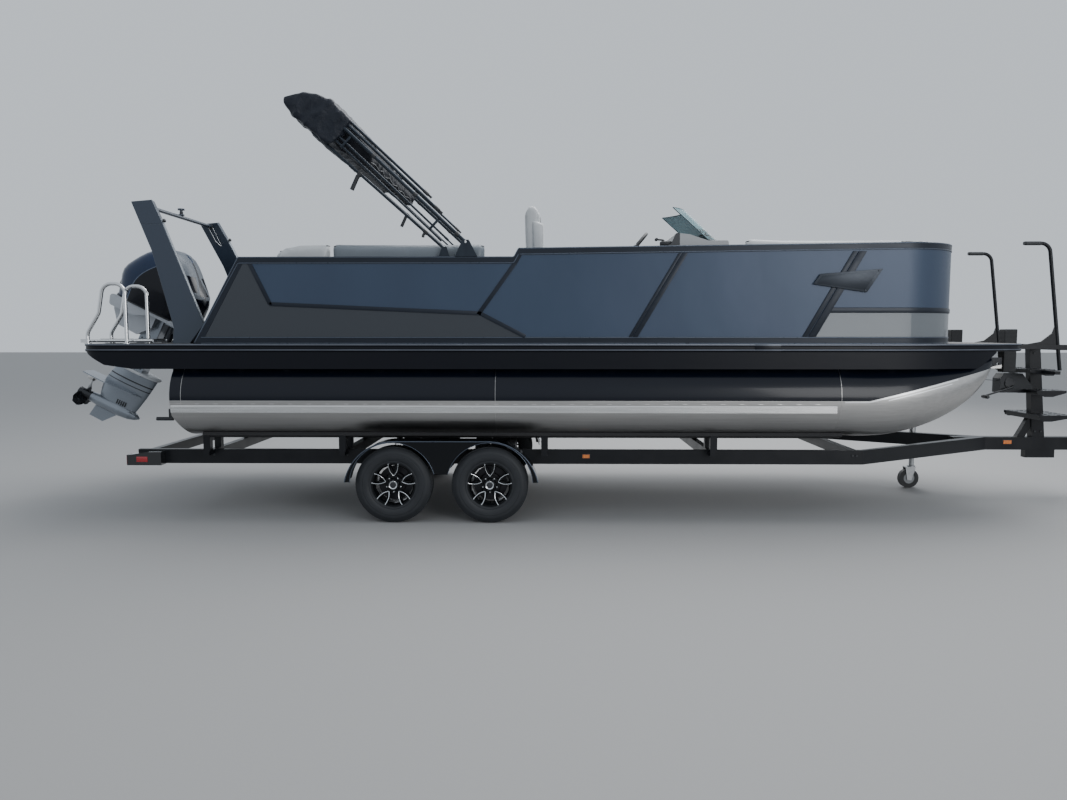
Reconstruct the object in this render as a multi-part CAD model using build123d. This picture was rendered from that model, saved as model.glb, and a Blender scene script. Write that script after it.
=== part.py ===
# Three-tube pontoon boat with an outboard motor, parked on its tandem-axle trailer.
# Millimetres. +X to the bow, +Y to port, +Z up. The origin is on the ground, under the
# middle of the whole length, on the centre plane.
import os
from math import asin, atan2, cos, degrees, hypot, radians, sin, sqrt, tan

from build123d import *

os.makedirs("parts", exist_ok=True)

# Driving dimensions.
GAP = 0.3               # between curved faces that only meet
CLEAR = 8.0             # between pieces that move past each other

DECK_AFT, DECK_FRONT = -4487, 3783
DECK_HALF = 1295        # half the beam
DECK_TOP, DECK_THICK = 1547, 30
RAIL_HIGH, RAIL_THICK = 68, 22          # rub rail round the deck
SKIRT_BOTTOM, SKIRT_THICK = 1335, 5
BEAM_HIGH, BEAM_WIDE, BEAM_PITCH = 90, 50, 406
BEAM_BOTTOM = DECK_TOP - DECK_THICK - BEAM_HIGH

TUBE_R, TUBE_Y = 343, 952
TUBE_TOP = BEAM_BOTTOM - 1              # the tubes hang just under the cross members
TUBE_Z, KEEL = TUBE_TOP - TUBE_R, TUBE_TOP - 2 * TUBE_R
TUBE_AFT, NOSE_AFT, NOSE_TIP = -3697, 2023, 3433

FENCE_OUT = 1235        # outer face of the fence
FENCE_FRONT, FENCE_CORNER = 3158, 630
FENCE_DEEP, PANEL_THICK = 32, 3
FENCE_AFT_TOP, FENCE_FORE_TOP, FENCE_BOW_TOP = 2285, 2357, 2408
FENCE_AFT_LOW, FENCE_AFT_HIGH = -3502, -3095
FENCE_STEP = -709       # where the fence rises to its forward height
FENCE_RAIL = 38         # height of the fence's rails and width of its posts

NOTCH_FRONT, NOTCH_HALF = -3990, 330    # cut in the deck for the motor
TILT = 26               # degrees the motor leans at rest
PIVOT_X, PIVOT_Z = -4077, 1602          # tilt tube

WHEEL_X = (-1797, -962)
TYRE_R, TYRE_WIDE, TYRE_OUT = 331.5, 205, 1270
RIM_R = 190
SPINDLE_R = 20

RAIL_Y, RAIL_WIDE = 965, 50             # trailer's long rails
FRAME_LOW, FRAME_TOP = 475, 602
FRAME_AFT, FRAME_BEND, FRAME_MEET = -4137, 2333, 3893
TONGUE_HALF, COUPLER_TIP = 45, 5285

BIMINI_X, BIMINI_Z, BIMINI_Y = -1157, 2404, 1222
BIMINI_LEAN = 43        # degrees above level, leaning aft
BRACE_X, BRACE_Z, BRACE_Y = -1341, 2352, 1180

ARCH_TOP_Z, ARCH_FOOT_Y, ARCH_TOP_Y = 2832, 945, 727


# Shapes used again and again.
def block(x, y, z):
    """A box between two X, two Y and two Z values."""
    size = [abs(b - a) for a, b in (x, y, z)]
    mid = [(a + b) / 2 for a, b in (x, y, z)]
    return Pos(*mid) * Box(*size)


def prism(plane, points, low, high):
    """A polygon on XZ, YZ or XY, pushed from low to high along the third axis."""
    face = make_face(Polyline(*points, close=True))
    if plane == "XZ":
        placed = Pos(0, high, 0) * Plane.XZ.location * face
    elif plane == "YZ":
        placed = Pos(low, 0, 0) * Plane.YZ.location * face
    else:
        placed = Pos(0, 0, low) * face
    return extrude(placed, high - low)


def rod(start, end, radius):
    """A round bar between two points."""
    a, b = Vector(*start), Vector(*end)
    turned = Plane(origin=a, z_dir=b - a)
    return extrude(turned * Circle(radius), (b - a).length)


def pipe(points, radius, bend):
    """A bent round tube through the points."""
    path = FilletPolyline(*points, radius=bend)
    start = Plane(origin=path @ 0, z_dir=path % 0)
    return sweep(start * Circle(radius), path=path)


def both(shape):
    """The shape and its twin across the centre plane."""
    return [shape, mirror(shape, Plane.XZ)]


def soften(shape, radius, choose=lambda edges: edges):
    """The shape with the chosen edges rounded."""
    return fillet(choose(shape.edges()), radius)


def fuse(*shapes):
    solid = shapes[0]
    for shape in shapes[1:]:
        solid = solid + shape
    return solid


def solids(*shapes):
    """All solids of shapes and lists of shapes; a cut that leaves nothing counts as none."""
    found = []
    for shape in shapes:
        found += list(shape) if isinstance(shape, (list, tuple)) else [shape]
    return [s for shape in found if shape is not None for s in shape.solids()]


def parted(axis, places, *shapes):
    """The shapes cut across an axis, into lengths that meet face to face."""
    ends, found = [-9000, *places, 9000], []
    for low, high in zip(ends, ends[1:]):
        spans = [(-9000, 9000)] * 3
        spans["XYZ".index(axis)] = (low, high)
        found += [s for shape in solids(*shapes) for s in solids(shape & block(*spans))]
    return found


def save(name, *shapes):
    """Writes one node, with all its solids."""
    pieces = solids(*shapes)
    export_step(pieces[0] if len(pieces) == 1 else Compound(pieces), f"parts/{name}.step")


def motor(shape):
    """Places a shape of the motor's own frame: pivot at 0, +X ahead, +Z up its leg."""
    return Pos(PIVOT_X, 0, PIVOT_Z) * Rot(0, TILT, 0) * shape


# Plan of the deck.
def deck_plan(inset=0):
    """The deck's outline: round stern corners, sides that taper in an arc, blunt bow."""
    aft, front = DECK_AFT + inset, DECK_FRONT - inset
    side, corner = DECK_HALF - inset, 200 - inset
    taper, end = 2313, (DECK_FRONT - 190 - 0.7 * inset, 980 - 0.9 * inset)
    radius = ((end[0] - taper) ** 2 + (side - end[1]) ** 2) / (2 * (side - end[1]))
    mid_x = (taper + end[0]) / 2
    mid = (mid_x, side - radius + sqrt(radius**2 - (mid_x - taper) ** 2))
    r = corner * (1 - sqrt(0.5))
    half = [
        Line((aft, 0), (aft, side - corner)),
        ThreePointArc((aft, side - corner), (aft + r, side - r), (aft + corner, side)),
        Line((aft + corner, side), (taper, side)),
        ThreePointArc((taper, side), mid, end),
        ThreePointArc(end, (front - 45, 895 - 0.9 * inset), (front, 765 - 0.5 * inset)),
        Line((front, 765 - 0.5 * inset), (front, 0)),
    ]
    return make_face(half + [mirror(edge, Plane.XZ) for edge in half])


def plan_solid(plan, low, high):
    return extrude(Pos(0, 0, low) * plan, high - low)


def ring(plan, out, inner, low, high):
    return plan_solid(plan(out), low, high) - plan_solid(plan(inner), low - 1, high + 1)


def fence_plan(inset=0):
    """The fence's outline, with its two large bow corners."""
    front, half, r = FENCE_FRONT - inset, FENCE_OUT - inset, FENCE_CORNER - inset
    aft, k = FENCE_AFT_LOW - 60, r * sqrt(0.5)
    edge = [
        Line((aft, 0), (aft, half)),
        Line((aft, half), (front - r, half)),
        ThreePointArc((front - r, half), (front - r + k, half - r + k), (front, half - r)),
        Line((front, half - r), (front, 0)),
    ]
    return make_face(edge + [mirror(e, Plane.XZ) for e in edge])


# Hull.
def nose_section(share, wide):
    """One lens-shaped section of a nosecone, flat topped with the tube, keel rising."""
    x, curl = NOSE_AFT + share * (NOSE_TIP - NOSE_AFT), NOSE_AFT + 190
    rise = 1 - ((x - curl) / (NOSE_TIP + 20 - curl)) ** 2
    low = max(KEEL, TUBE_TOP + 44 - (2 * TUBE_R + 64) * sqrt(max(rise, 0)))
    mid = (low + TUBE_TOP) / 2
    halves = [
        ThreePointArc((0, TUBE_TOP), (wide * TUBE_R, mid), (0, low)),
        ThreePointArc((0, low), (-wide * TUBE_R, mid), (0, TUBE_TOP)),
    ]
    return Pos(x, 0, 0) * Plane.YZ.location * make_face(halves)


NOSE = [  # share of the nosecone's length, half width in tube radii
    (0, 1), (0.312, 0.948), (0.56, 0.802), (0.773, 0.569), (0.915, 0.35), (1, 0.117),
]
STRAKE = [(0.875, -0.367), (0.997, -0.353), (0.997, -0.201), (0.977, -0.152)]  # in tube radii


def log():
    """One closed tube with its nosecone, risers on top, nose plate and keel cut-back."""
    tube = rod((TUBE_AFT, 0, TUBE_Z), (NOSE_AFT, 0, TUBE_Z), TUBE_R)
    nose = loft([nose_section(*station) for station in NOSE])
    riser = block((TUBE_AFT + 57, 2900), (-60, 60), (TUBE_TOP - 31, BEAM_BOTTOM))
    eye_x, eye_z = NOSE_TIP + 67, TUBE_TOP - 56
    plate = block((NOSE_TIP - 53, NOSE_TIP + 100), (-6, 6), (TUBE_TOP - 96, TUBE_TOP))
    plate = plate - rod((eye_x, -9, eye_z), (eye_x, 9, eye_z), 11)
    aft, low = TUBE_AFT - 6, KEEL - 40
    cut = prism("XZ", [(aft, KEEL + 203), (aft, low), (TUBE_AFT + 98, low)], -TUBE_R - 60, TUBE_R + 60)
    return fuse(tube, nose, riser, plate) - cut


def strake():
    """Lifting strake along one side of a tube at the origin's centre line."""
    shape = [(y * TUBE_R, TUBE_Z + z * TUBE_R) for y, z in STRAKE]
    bar = prism("YZ", shape, TUBE_AFT + 7, NOSE_AFT - 38)
    return bar - rod((TUBE_AFT, 0, TUBE_Z), (NOSE_AFT, 0, TUBE_Z), TUBE_R + GAP)


one_log = log()
BOW_EYE = (NOSE_TIP - 13, TUBE_TOP - 223)  # front end of the bow eye on the middle tube
bow_eye = rod((BOW_EYE[0] - 90, 0, BOW_EYE[1] + 9), (BOW_EYE[0], 0, BOW_EYE[1]), 9)
TRANSOM_X = (-4132, -4092)
pod_side = [
    (TUBE_AFT, BEAM_BOTTOM), (TRANSOM_X[1], BEAM_BOTTOM), (TRANSOM_X[1], TUBE_Z + 37),
    (TUBE_AFT, TUBE_Z - 83),
]
transom = block(TRANSOM_X, (-260, 260), (TUBE_Z + 17, DECK_TOP + 3))
pod = fuse(prism("XZ", pod_side, -240, 240), transom)
logs = [Pos(0, y, 0) * one_log for y in (-TUBE_Y, TUBE_Y)]
save("pontoons", logs, fuse(one_log, bow_eye), pod)
one_strake = strake()
save("lifting_strakes", [Pos(0, y, 0) * s for y in (-TUBE_Y, 0, TUBE_Y) for s in both(one_strake)])

notch = block((DECK_AFT - 50, NOTCH_FRONT), (-NOTCH_HALF, NOTCH_HALF), (1300, 1700))
deck_low = DECK_TOP - DECK_THICK
beams = []
inside = plan_solid(deck_plan(SKIRT_THICK + 24), BEAM_BOTTOM - 9, DECK_TOP)
for n in range(20):
    x = DECK_AFT + 90 + n * BEAM_PITCH
    beam = block((x, x + BEAM_WIDE), (-DECK_HALF, DECK_HALF), (BEAM_BOTTOM, deck_low))
    beams.append((beam & inside) - notch)
save("cross_members", beams)

save("deck", plan_solid(deck_plan(RAIL_THICK), deck_low, DECK_TOP) - notch)
rub = ring(deck_plan, 0, RAIL_THICK - GAP, DECK_TOP - RAIL_HIGH, DECK_TOP)
skirt_side = [
    (-4440, 1479), (-4251, 1369), (-4014, SKIRT_BOTTOM), (3250, SKIRT_BOTTOM), (3450, 1479),
]
skirt = ring(deck_plan, 8, 8 + SKIRT_THICK, SKIRT_BOTTOM, 1479)
save("deck_edge_trim", rub - notch, both(skirt & prism("XZ", skirt_side, 500, 1400)))


# Fence.
def fence_top(x):
    """Height of the fence's top edge along the side."""
    if x < FENCE_STEP:
        return FENCE_AFT_TOP
    share = (x - FENCE_STEP) / (FENCE_FRONT - FENCE_STEP)
    return FENCE_FORE_TOP + share * (FENCE_BOW_TOP - FENCE_FORE_TOP)


RAIL_DEEP = 60          # height of the fence's top and bottom rails
BOW_GATE, SIDE_GATE, STERN_GATE = (-330, 330), (150, 820), (360, 1000)
STERN_X = -3068         # aft face of the stern fence is just behind this

side = [
    (FENCE_AFT_LOW, DECK_TOP), (FENCE_AFT_HIGH, FENCE_AFT_TOP), (FENCE_STEP - 42, FENCE_AFT_TOP),
    (FENCE_STEP, FENCE_FORE_TOP), (FENCE_FRONT + 20, FENCE_BOW_TOP), (FENCE_FRONT + 20, DECK_TOP),
]
slope = (FENCE_AFT_HIGH - FENCE_AFT_LOW) / (FENCE_AFT_TOP - DECK_TOP)
aft_inner = RAIL_DEEP * 1.15
inner = [
    (FENCE_AFT_LOW + aft_inner + slope * RAIL_DEEP, DECK_TOP + RAIL_DEEP),
    (FENCE_AFT_HIGH + aft_inner - slope * RAIL_DEEP, FENCE_AFT_TOP - RAIL_DEEP),
    (FENCE_STEP - 15, FENCE_AFT_TOP - RAIL_DEEP),
    (FENCE_STEP + 27, FENCE_FORE_TOP - RAIL_DEEP),
    (FENCE_FRONT + 30, FENCE_BOW_TOP - RAIL_DEEP), (FENCE_FRONT + 30, DECK_TOP + RAIL_DEEP),
]
half_box = block((-4000, 3300), (0, 1400), (1500, 2500))
rails = ring(fence_plan, 0, FENCE_DEEP + 4, DECK_TOP, 2450) & prism("XZ", side, 0, 1400)
rails = rails - prism("XZ", inner, -10, 1450)
BENDS = (FENCE_FRONT - FENCE_CORNER, FENCE_OUT - FENCE_CORNER)   # X and Y where the corners end
bow_cut = block((2900, 3300), (-BOW_GATE[1], BOW_GATE[1]), (1500, 2500))
side_cut = block(SIDE_GATE, (900, 1400), (DECK_TOP - 1, 2500))
levels = (DECK_TOP + RAIL_DEEP, FENCE_AFT_TOP - RAIL_DEEP)
lengths = parted("X", (FENCE_STEP - 42, FENCE_STEP + 27, BENDS[0]), parted("Z", levels, rails - bow_cut))
lengths = parted("Y", BENDS[1:], lengths)
post_ring = ring(fence_plan, 7 + GAP, FENCE_DEEP + 4, DECK_TOP, 2450)
posts = []
for x in (-2560, -1900, -1240, -560, 60, SIDE_GATE[1], 1500, 2150, 2900):
    post = block((x, x + FENCE_RAIL), (800, 1400), (DECK_TOP + 20, fence_top(x) - 30))
    posts.append((post & post_ring) - rails)
for y in (BOW_GATE[1], 760):
    post = block((3000, 3300), (y, y + FENCE_RAIL), (DECK_TOP + 20, 2380))
    posts.append((post & post_ring) - rails)
jambs = [
    block((SIDE_GATE[0] - FENCE_RAIL, SIDE_GATE[0]), (1201, 1228), (1560, 2340)),
    block((SIDE_GATE[1], SIDE_GATE[1] + FENCE_RAIL), (1197, 1228), (1560, 2340)),
]
frame_left = [piece - side_cut for piece in lengths]
frame_left += [post - side_cut - jambs[1] for post in posts] + [jamb - rails for jamb in jambs]

stern_top = 2225
stern_frame = block((STERN_X - 34, STERN_X), (-1199, STERN_GATE[0] - 4), (DECK_TOP, stern_top))
stern_frame = stern_frame - block((STERN_X - 40, STERN_X - 8), (-1160, 320), (1610, stern_top - 60))
stern_left = block((STERN_X - 34, STERN_X), (STERN_GATE[1] + 4, 1199), (DECK_TOP, stern_top))
save("fence_frame_right", [mirror(piece, Plane.XZ) for piece in solids(lengths, posts)], stern_frame)
save("fence_frame_left", frame_left, stern_left)

skin = ring(fence_plan, 4, 4 + PANEL_THICK, DECK_TOP, 2450) & prism("XZ", inner, 0, 1400)
skin = skin - bow_cut
charcoal = [
    (-3600, 1500), (-3300, 2300), (-3035, 2290), (-2827, 1879), (-1042, 1802), (-490, 1500),
]
grey = [(1740, 1500), (1880, 1832), (3300, 1832), (3300, 1500)]
charcoal_cut, grey_cut = (prism("XZ", shape, 0, 1400) for shape in (charcoal, grey))
lower = parted("Y", BENDS[1:], parted("X", BENDS[:1], skin & charcoal_cut, skin & grey_cut))
upper = parted("Y", BENDS[1:], parted("X", BENDS[:1], skin - charcoal_cut - grey_cut))
save("panels_lower", lower, [mirror(sheet, Plane.XZ) for sheet in lower])
save("panels_upper", [sheet - side_cut for sheet in upper], [mirror(sheet, Plane.XZ) for sheet in upper])


def strip(points):
    """A flat trim bar on the outside of the fence, from its side view."""
    return ring(fence_plan, 0, 4 - GAP, DECK_TOP, 2450) & prism("XZ", points, 600, 1400)


def band(a, b, wide):
    """A bar's outline between two points, wide across."""
    dx, dz = b[0] - a[0], b[1] - a[1]
    n = wide / 2 / hypot(dx, dz)
    return [(a[0] - dz * n, a[1] + dx * n), (b[0] - dz * n, b[1] + dx * n),
            (b[0] + dz * n, b[1] - dx * n), (a[0] + dz * n, a[1] - dx * n)]


STRIPS = [  # start, end, width
    ((-2995, 2224), (-2827, 1879), 34), ((-2835, 1886), (-1030, 1806), 34),
    ((-1052, 1800), (-745, 2223), 34), ((-1048, 1812), (-655, 1608), 34),
    ((262, 1608), (675, 2310), 66), ((1748, 1608), (2154, 2325), 100),
    ((1905, 1832), (3300, 1832), 46),
]
inside_rails = prism("XZ", inner, 0, 1400)
bars = [strip(band(*s)) & inside_rails for s in STRIPS]
bars = fuse(*bars) - bow_cut
save("fence_trims", mirror(bars, Plane.XZ), bars - side_cut)


# Gates, each with two hinge knuckles on its own turning line.
def knuckles(x, y, low, high):
    return [rod((x, y, z), (x, y, z + 60), CLEAR - GAP) for z in (low, high)]


bow_leaf = block((3124, 3154), (BOW_GATE[0] + CLEAR, BOW_GATE[1] - CLEAR), (1575, 2375))
bow_leaf = bow_leaf - block((3120, 3136), (-280, 280), (1620, 2330))
save("bow_gate", fuse(bow_leaf, *knuckles(3124, BOW_GATE[1] - CLEAR, 1660, 2230)))
side_leaf = block((SIDE_GATE[0] + CLEAR, SIDE_GATE[1] - CLEAR), (1197, 1227), (1575, 2355))
side_leaf = side_leaf - block((SIDE_GATE[0] + 50, SIDE_GATE[1] - 50), (1190, 1215), (1620, 2310))
save("side_gate", fuse(side_leaf, *knuckles(SIDE_GATE[1] - CLEAR, 1197, 1660, 2210)))
stern_leaf = block((STERN_X - 32, STERN_X - 2), (STERN_GATE[0] + 4, STERN_GATE[1] - 4), (1575, 2200))
hollow = block((STERN_X - 22, STERN_X), (STERN_GATE[0] + 46, STERN_GATE[1] - 46), (1620, 2155))
save("stern_gate", fuse(stern_leaf - hollow, *knuckles(STERN_X - 2, STERN_GATE[1] - 4, 1640, 2090)))

# Seats and helm.
BASE_TOP, SEAT_TOP, BACK_TOP = 1880, 2000, 2425
FLOOR = DECK_TOP
BACK_Y = (1030, 1145)   # the side backrests' depth
PAD_EDGE = 22
inner_plan = plan_solid(fence_plan(FENCE_DEEP + 12), FLOOR, BACK_TOP + 20)
stern_base = [
    block((-3060, -2480), (-1190, 280), (FLOOR, BASE_TOP)),
    block((-2480, -980), (-1190, -560), (FLOOR, BASE_TOP)),
]
port_base = block((-2400, 60), (560, 1190), (FLOOR, BASE_TOP))
bow_right = block((1090, 3040), (-1190, -420), (FLOOR, BASE_TOP)) & inner_plan
bow_left = block((960, 3040), (420, 1190), (FLOOR, BASE_TOP)) & inner_plan
save("lounge_bases", stern_base, port_base, bow_right, bow_left)

aft_seats = [
    block((-2925, -2484), (-1020, 276), (BASE_TOP, SEAT_TOP)),
    block((-2476, -984), (-1020, -550), (BASE_TOP, SEAT_TOP)),
    block((-2396, 56), (550, 1020), (BASE_TOP, SEAT_TOP)),
]
aft_backs = [
    block((-3058, -2935), (-1020, 276), (BASE_TOP, 2270)),
    block((-2830, -2376), (-BACK_Y[1], -BACK_Y[0]), (BASE_TOP, BACK_TOP)),
    block((-2366, -984), (-BACK_Y[1], -BACK_Y[0]), (BASE_TOP, BACK_TOP)),
    block((-2396, 56), BACK_Y, (BASE_TOP, BACK_TOP)),
]
save("aft_cushions", [soften(pad, PAD_EDGE) for pad in aft_seats + aft_backs])
bow_wall = ring(fence_plan, FENCE_DEEP + 14, FENCE_DEEP + 134, BASE_TOP, BACK_TOP)
bow_seat_plan = plan_solid(fence_plan(FENCE_DEEP + 144), BASE_TOP, SEAT_TOP)
bow_seats = [
    block((1094, 3040), (-1190, -415), (BASE_TOP, SEAT_TOP)) & bow_seat_plan,
    block((964, 3040), (415, 1190), (BASE_TOP, SEAT_TOP)) & bow_seat_plan,
]
bow_backs = [
    bow_wall & block((1200, 3100), (-1200, -425), (BASE_TOP, BACK_TOP)),
    bow_wall & block((1100, 3100), (425, 1200), (BASE_TOP, BACK_TOP)),
]
save("bow_cushions", [soften(pad, PAD_EDGE) for pad in bow_seats + bow_backs])

HELM_Y = -760
console_side = [
    (640, FLOOR), (1000, FLOOR), (1075, 2300), (1075, 2425), (900, 2425), (743, 2477),
    (625, 2489), (587, 2400), (460, 2335), (440, 2230), (640, 2060),
]
console = soften(prism("XZ", console_side, -1150, -440), 18, lambda edges: edges.filter_by(Axis.Y))
WHEEL_LEAN = 40         # degrees of the steering wheel's axis below level
WHEEL_AT = (321, 2406)


def helm(shape):
    """Places a shape whose +X runs down the steering column from the wheel's centre."""
    return Pos(WHEEL_AT[0], HELM_Y, WHEEL_AT[1]) * Rot(0, WHEEL_LEAN, 0) * shape


stub = helm(rod((52, 0, 0), (260, 0, 0), 26)) - console
save("helm_console", console, [s for s in stub.solids() if s.center().X < 500][0])
rim = Rot(0, 90, 0) * Torus(155, 14)
hub = rod((-14, 0, 0), (52 - GAP, 0, 0), 32)
spokes = [Rot(a, 0, 0) * block((-8, 6), (25, 148), (-14, 14)) for a in (90, 210, 330)]
save("steering_wheel", helm(fuse(rim, hub, *spokes)))

arc_out = ThreePointArc((918, -1110), (1068, -795), (918, -480))
arc_in = ThreePointArc((912, -1108), (1062, -795), (912, -482))
ends = [Line(arc_out @ 0, arc_in @ 0), Line(arc_out @ 1, arc_in @ 1)]
screen_foot = Pos(0, 0, 2425) * make_face([arc_out, arc_in] + ends)
save("windscreen", extrude(screen_foot, 420, dir=(-0.74, 0, 0.672)))

CHAIR_X, CHAIR_Y = -370, -720
save("helm_chair_pedestal", fuse(
    Pos(CHAIR_X, CHAIR_Y, FLOOR + 10) * Cylinder(170, 20),
    rod((CHAIR_X, CHAIR_Y, FLOOR + 10), (CHAIR_X, CHAIR_Y, 1935), 45),
))
seat = soften(block((-620, -100), (CHAIR_Y - 265, CHAIR_Y + 265), (1950, 2085)), 40)
plate = block((-520, -220), (CHAIR_Y - 150, CHAIR_Y + 150), (1935 + GAP, 1950))
back = prism("XZ", [(-640, 2060), (-510, 2060), (-535, 2700), (-575, 2780), (-640, 2780), (-665, 2700)],
             CHAIR_Y - 240, CHAIR_Y + 240)
back = soften(back, 30, lambda edges: edges.filter_by(Axis.Y))
armrests = [
    soften(block((-600, -200), (CHAIR_Y + s * 262 - 30, CHAIR_Y + s * 262 + 30), (2240, 2290)), 18)
    for s in (-1, 1)
]
arm_posts = [block((-590, -530), (CHAIR_Y + s * 252 - 16, CHAIR_Y + s * 252 + 16), (2060, 2250)) for s in (-1, 1)]
save("helm_chair", fuse(seat, plate, back, *armrests, *arm_posts))

# Stern: tow arch, handrails, ladder.
leg_side = [
    (-3800, 1500), (-3796, 1684), (-4026, 2377), (-4233, 2822), (-4044, 2838), (-3950, 2652),
    (-3527, 1711), (-3640, 1547), (-3640, 1500),
]
ARCH_THICK = 60
lean = atan2(ARCH_FOOT_Y - ARCH_TOP_Y, ARCH_TOP_Z - DECK_TOP)
leg_face = [(x, (z - DECK_TOP) / cos(lean)) for x, z in leg_side]
leg_plane = Plane(origin=(0, ARCH_FOOT_Y, DECK_TOP), x_dir=(1, 0, 0), z_dir=(0, -cos(lean), -sin(lean)))
leg = extrude(leg_plane * make_face(Polyline(*leg_face, close=True)), ARCH_THICK / 2, both=True)
leg = soften(leg, 5)
leg = leg - block((-4400, -3400), (700, 1100), (1300, DECK_TOP))
bar = rod((-4117, -735, 2790), (-4117, 735, 2790), 18)
arch = fuse(leg, mirror(leg, Plane.XZ), bar)
knob = fuse(
    rod((-4117, 0, 2808), (-4117, 0, 2860), 14), rod((-4117, 0, 2860), (-4117, 0, 2875), 34),
    rod((-4117, 0, 2808), (-4117, 0, 2818), 30),
)
save("tow_arch", arch, knob - bar)

LADDER_Y = (-1180, -800)
grab = [(-4440, FLOOR), (-4440, 1640), (-4335, 1810), (-4290, 2062), (-4100, 2062), (-4100, FLOOR)]
rails_stern = [pipe([(x, y, z) for x, z in grab], 16, 88) for y in LADDER_Y]
feet = [rod((x, y, FLOOR), (x, y, FLOOR + 6), 32) for y in LADDER_Y for x in (-4440, -4100)]
handrails = [fuse(r, *feet[2 * n:2 * n + 2]) for n, r in enumerate(rails_stern)]

LADDER_X, LADDER_Z = -4510, 1572        # hinge line
arms = [rod((LADDER_X, y, LADDER_Z), (-3905, y, LADDER_Z), 14) for y in (-1115, -865)]
rungs = [rod((x, -1115, LADDER_Z), (x, -865, LADDER_Z), 12) for x in (-4360, -4210, -4060, -3910)]
hinge = rod((LADDER_X, -1148, LADDER_Z), (LADDER_X, -832, LADDER_Z), 8)
save("boarding_ladder", fuse(*arms, *rungs, hinge))
ears = []
for y in (-1146, -840):
    ear = block((LADDER_X - 14, -4455), (y, y + 6), (1556, 1588)) + block((-4480, -4455), (y, y + 6), (FLOOR, 1570))
    ears.append(ear - rod((LADDER_X, y - 2, LADDER_Z), (LADDER_X, y + 8, LADDER_Z), 8 + GAP))
save("stern_handrails", handrails, ears)

eye_y, eye_z = -TUBE_Y - 198, TUBE_Z - 148  # foot of the transducer's bracket
save("transducer", fuse(
    block((TUBE_AFT - 25, TUBE_AFT), (eye_y - 20, eye_y + 20), (eye_z, eye_z + 85)),
    block((TUBE_AFT - 73, TUBE_AFT - 25), (eye_y - 10, eye_y + 10), (eye_z - 35, eye_z + 45)),
    rod((TUBE_AFT - 183, eye_y, eye_z - 42), (TUBE_AFT - 38, eye_y, eye_z - 42), 16),
))

# Outboard.
COLUMN_X = -190         # steering axis, in the motor's frame
TILT_TUBE_R, PIN_R = 20, 20
cheek_side = [
    (-4202, 1250), (-4132, 1230), (-4132, 1550), (-4092, 1550), (-4092, 1470), (-4035, 1470),
    (-4035, 1615), (-4060, 1650), (-4110, 1650), (-4202, 1560),
]
cheeks = both(prism("XZ", cheek_side, 95, 125))
save("clamp_bracket", fuse(*cheeks, rod((PIVOT_X, -125, PIVOT_Z), (PIVOT_X, 125, PIVOT_Z), TILT_TUBE_R)))

barrel = rod((0, -90, 0), (0, 90, 0), 38)
swivel = fuse(
    barrel, block((COLUMN_X, -20), (-35, 35), (-44, 12)),
    rod((COLUMN_X, 0, -360), (COLUMN_X, 0, 12), 42),
)
swivel = swivel - rod((0, -95, 0), (0, 95, 0), TILT_TUBE_R + GAP)
swivel = swivel - rod((COLUMN_X, 0, -370), (COLUMN_X, 0, 20), PIN_R + GAP)
save("swivel_bracket", motor(swivel))

leg_block = block((-430, -262), (-75, 75), (-575, 85))
STRUT = [  # height, middle, half length and half thickness of each oval section
    (-570, -323, 217, 62), (-765, -370, 230, 50), (-1000, -380, 180, 42),
]
strut = loft([Pos(x, 0, z) * Ellipse(long, thick) for z, x, long, thick in reversed(STRUT)])
fin = prism("XZ", [(-330, -1035), (-580, -1035), (-605, -1171), (-456, -1177)], -6, 6)
plate_top = prism("XY", [(-800, 0), (-790, -95), (-500, -125), (-260, -85), (-140, 0),
                         (-260, 85), (-500, 125), (-790, 95)], -776, -766)
bullet_side = [(-650, 0), (-650, 50), (-560, 62), (-330, 66), (-230, 55), (-165, 34), (-125, 8), (-125, 0)]
bullet = revolve(make_face(Polyline(*[(x, r, 0) for x, r in bullet_side], close=True)), Axis.X)
midsection = fuse(
    leg_block, rod((COLUMN_X, 0, -400), (COLUMN_X, 0, 40), PIN_R),
    block((-300, -150), (-55, 55), (18, 58)), block((-300, -150), (-55, 55), (-420, -366)),
    strut, fin, plate_top, Pos(0, 0, -990) * bullet,
)
save("motor_leg", motor(midsection))

pan_side = [(-640, -170), (-735, -40), (-768, 110), (15, 110), (-10, 70), (-320, 70), (-320, -60), (-430, -180)]
flare = [(-735, 0), (-768, 110), (15, 110), (-10, 72), (-320, 72), (-500, 0)]


def aft_edges(edges):
    return edges.filter_by(Axis.Y).filter_by(lambda e: e.center().X < -600)


pan = fuse(*[soften(prism("XZ", side, -half, half), 30, aft_edges) for side, half in ((pan_side, 150), (flare, 270))])
save("motor_pan", motor(pan - leg_block - block((-310, -140), (-60, 60), (15, 75))))
cowl_side = [
    (-768, 110), (-790, 250), (-840, 360), (-610, 650), (-440, 755), (-350, 730), (-10, 420),
    (20, 310), (15, 110),
]
cowl_rear = [(-285, 100), (-305, 380), (-255, 600), (-160, 765), (160, 765), (255, 600), (305, 380), (285, 100)]
cowl = prism("XZ", cowl_side, -310, 310) & prism("YZ", cowl_rear, -900, 100)
cowl = soften(cowl, 34, lambda edges: edges.filter_by(lambda e: e.center().Z > 130))
save("motor_cowl", motor(cowl))

PROP_R = 190
blade = extrude(Plane.XY * make_face(Polyline((-60, 30), (-95, 120), (-60, PROP_R - 8), (30, PROP_R - 12), (75, 120), (50, 30), close=True)), 7)
blade = Rot(0, 38, 0) * Pos(0, 0, -3.5) * blade
prop_hub = rod((-650 - GAP, 0, 0), (-790, 0, 0), 48)
blades = [Rot(a, 0, 0) * Pos(-720, 0, 0) * blade for a in (0, 120, 240)]
save("propeller", motor(Pos(0, 0, -990) * fuse(prop_hub, *blades)))

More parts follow.
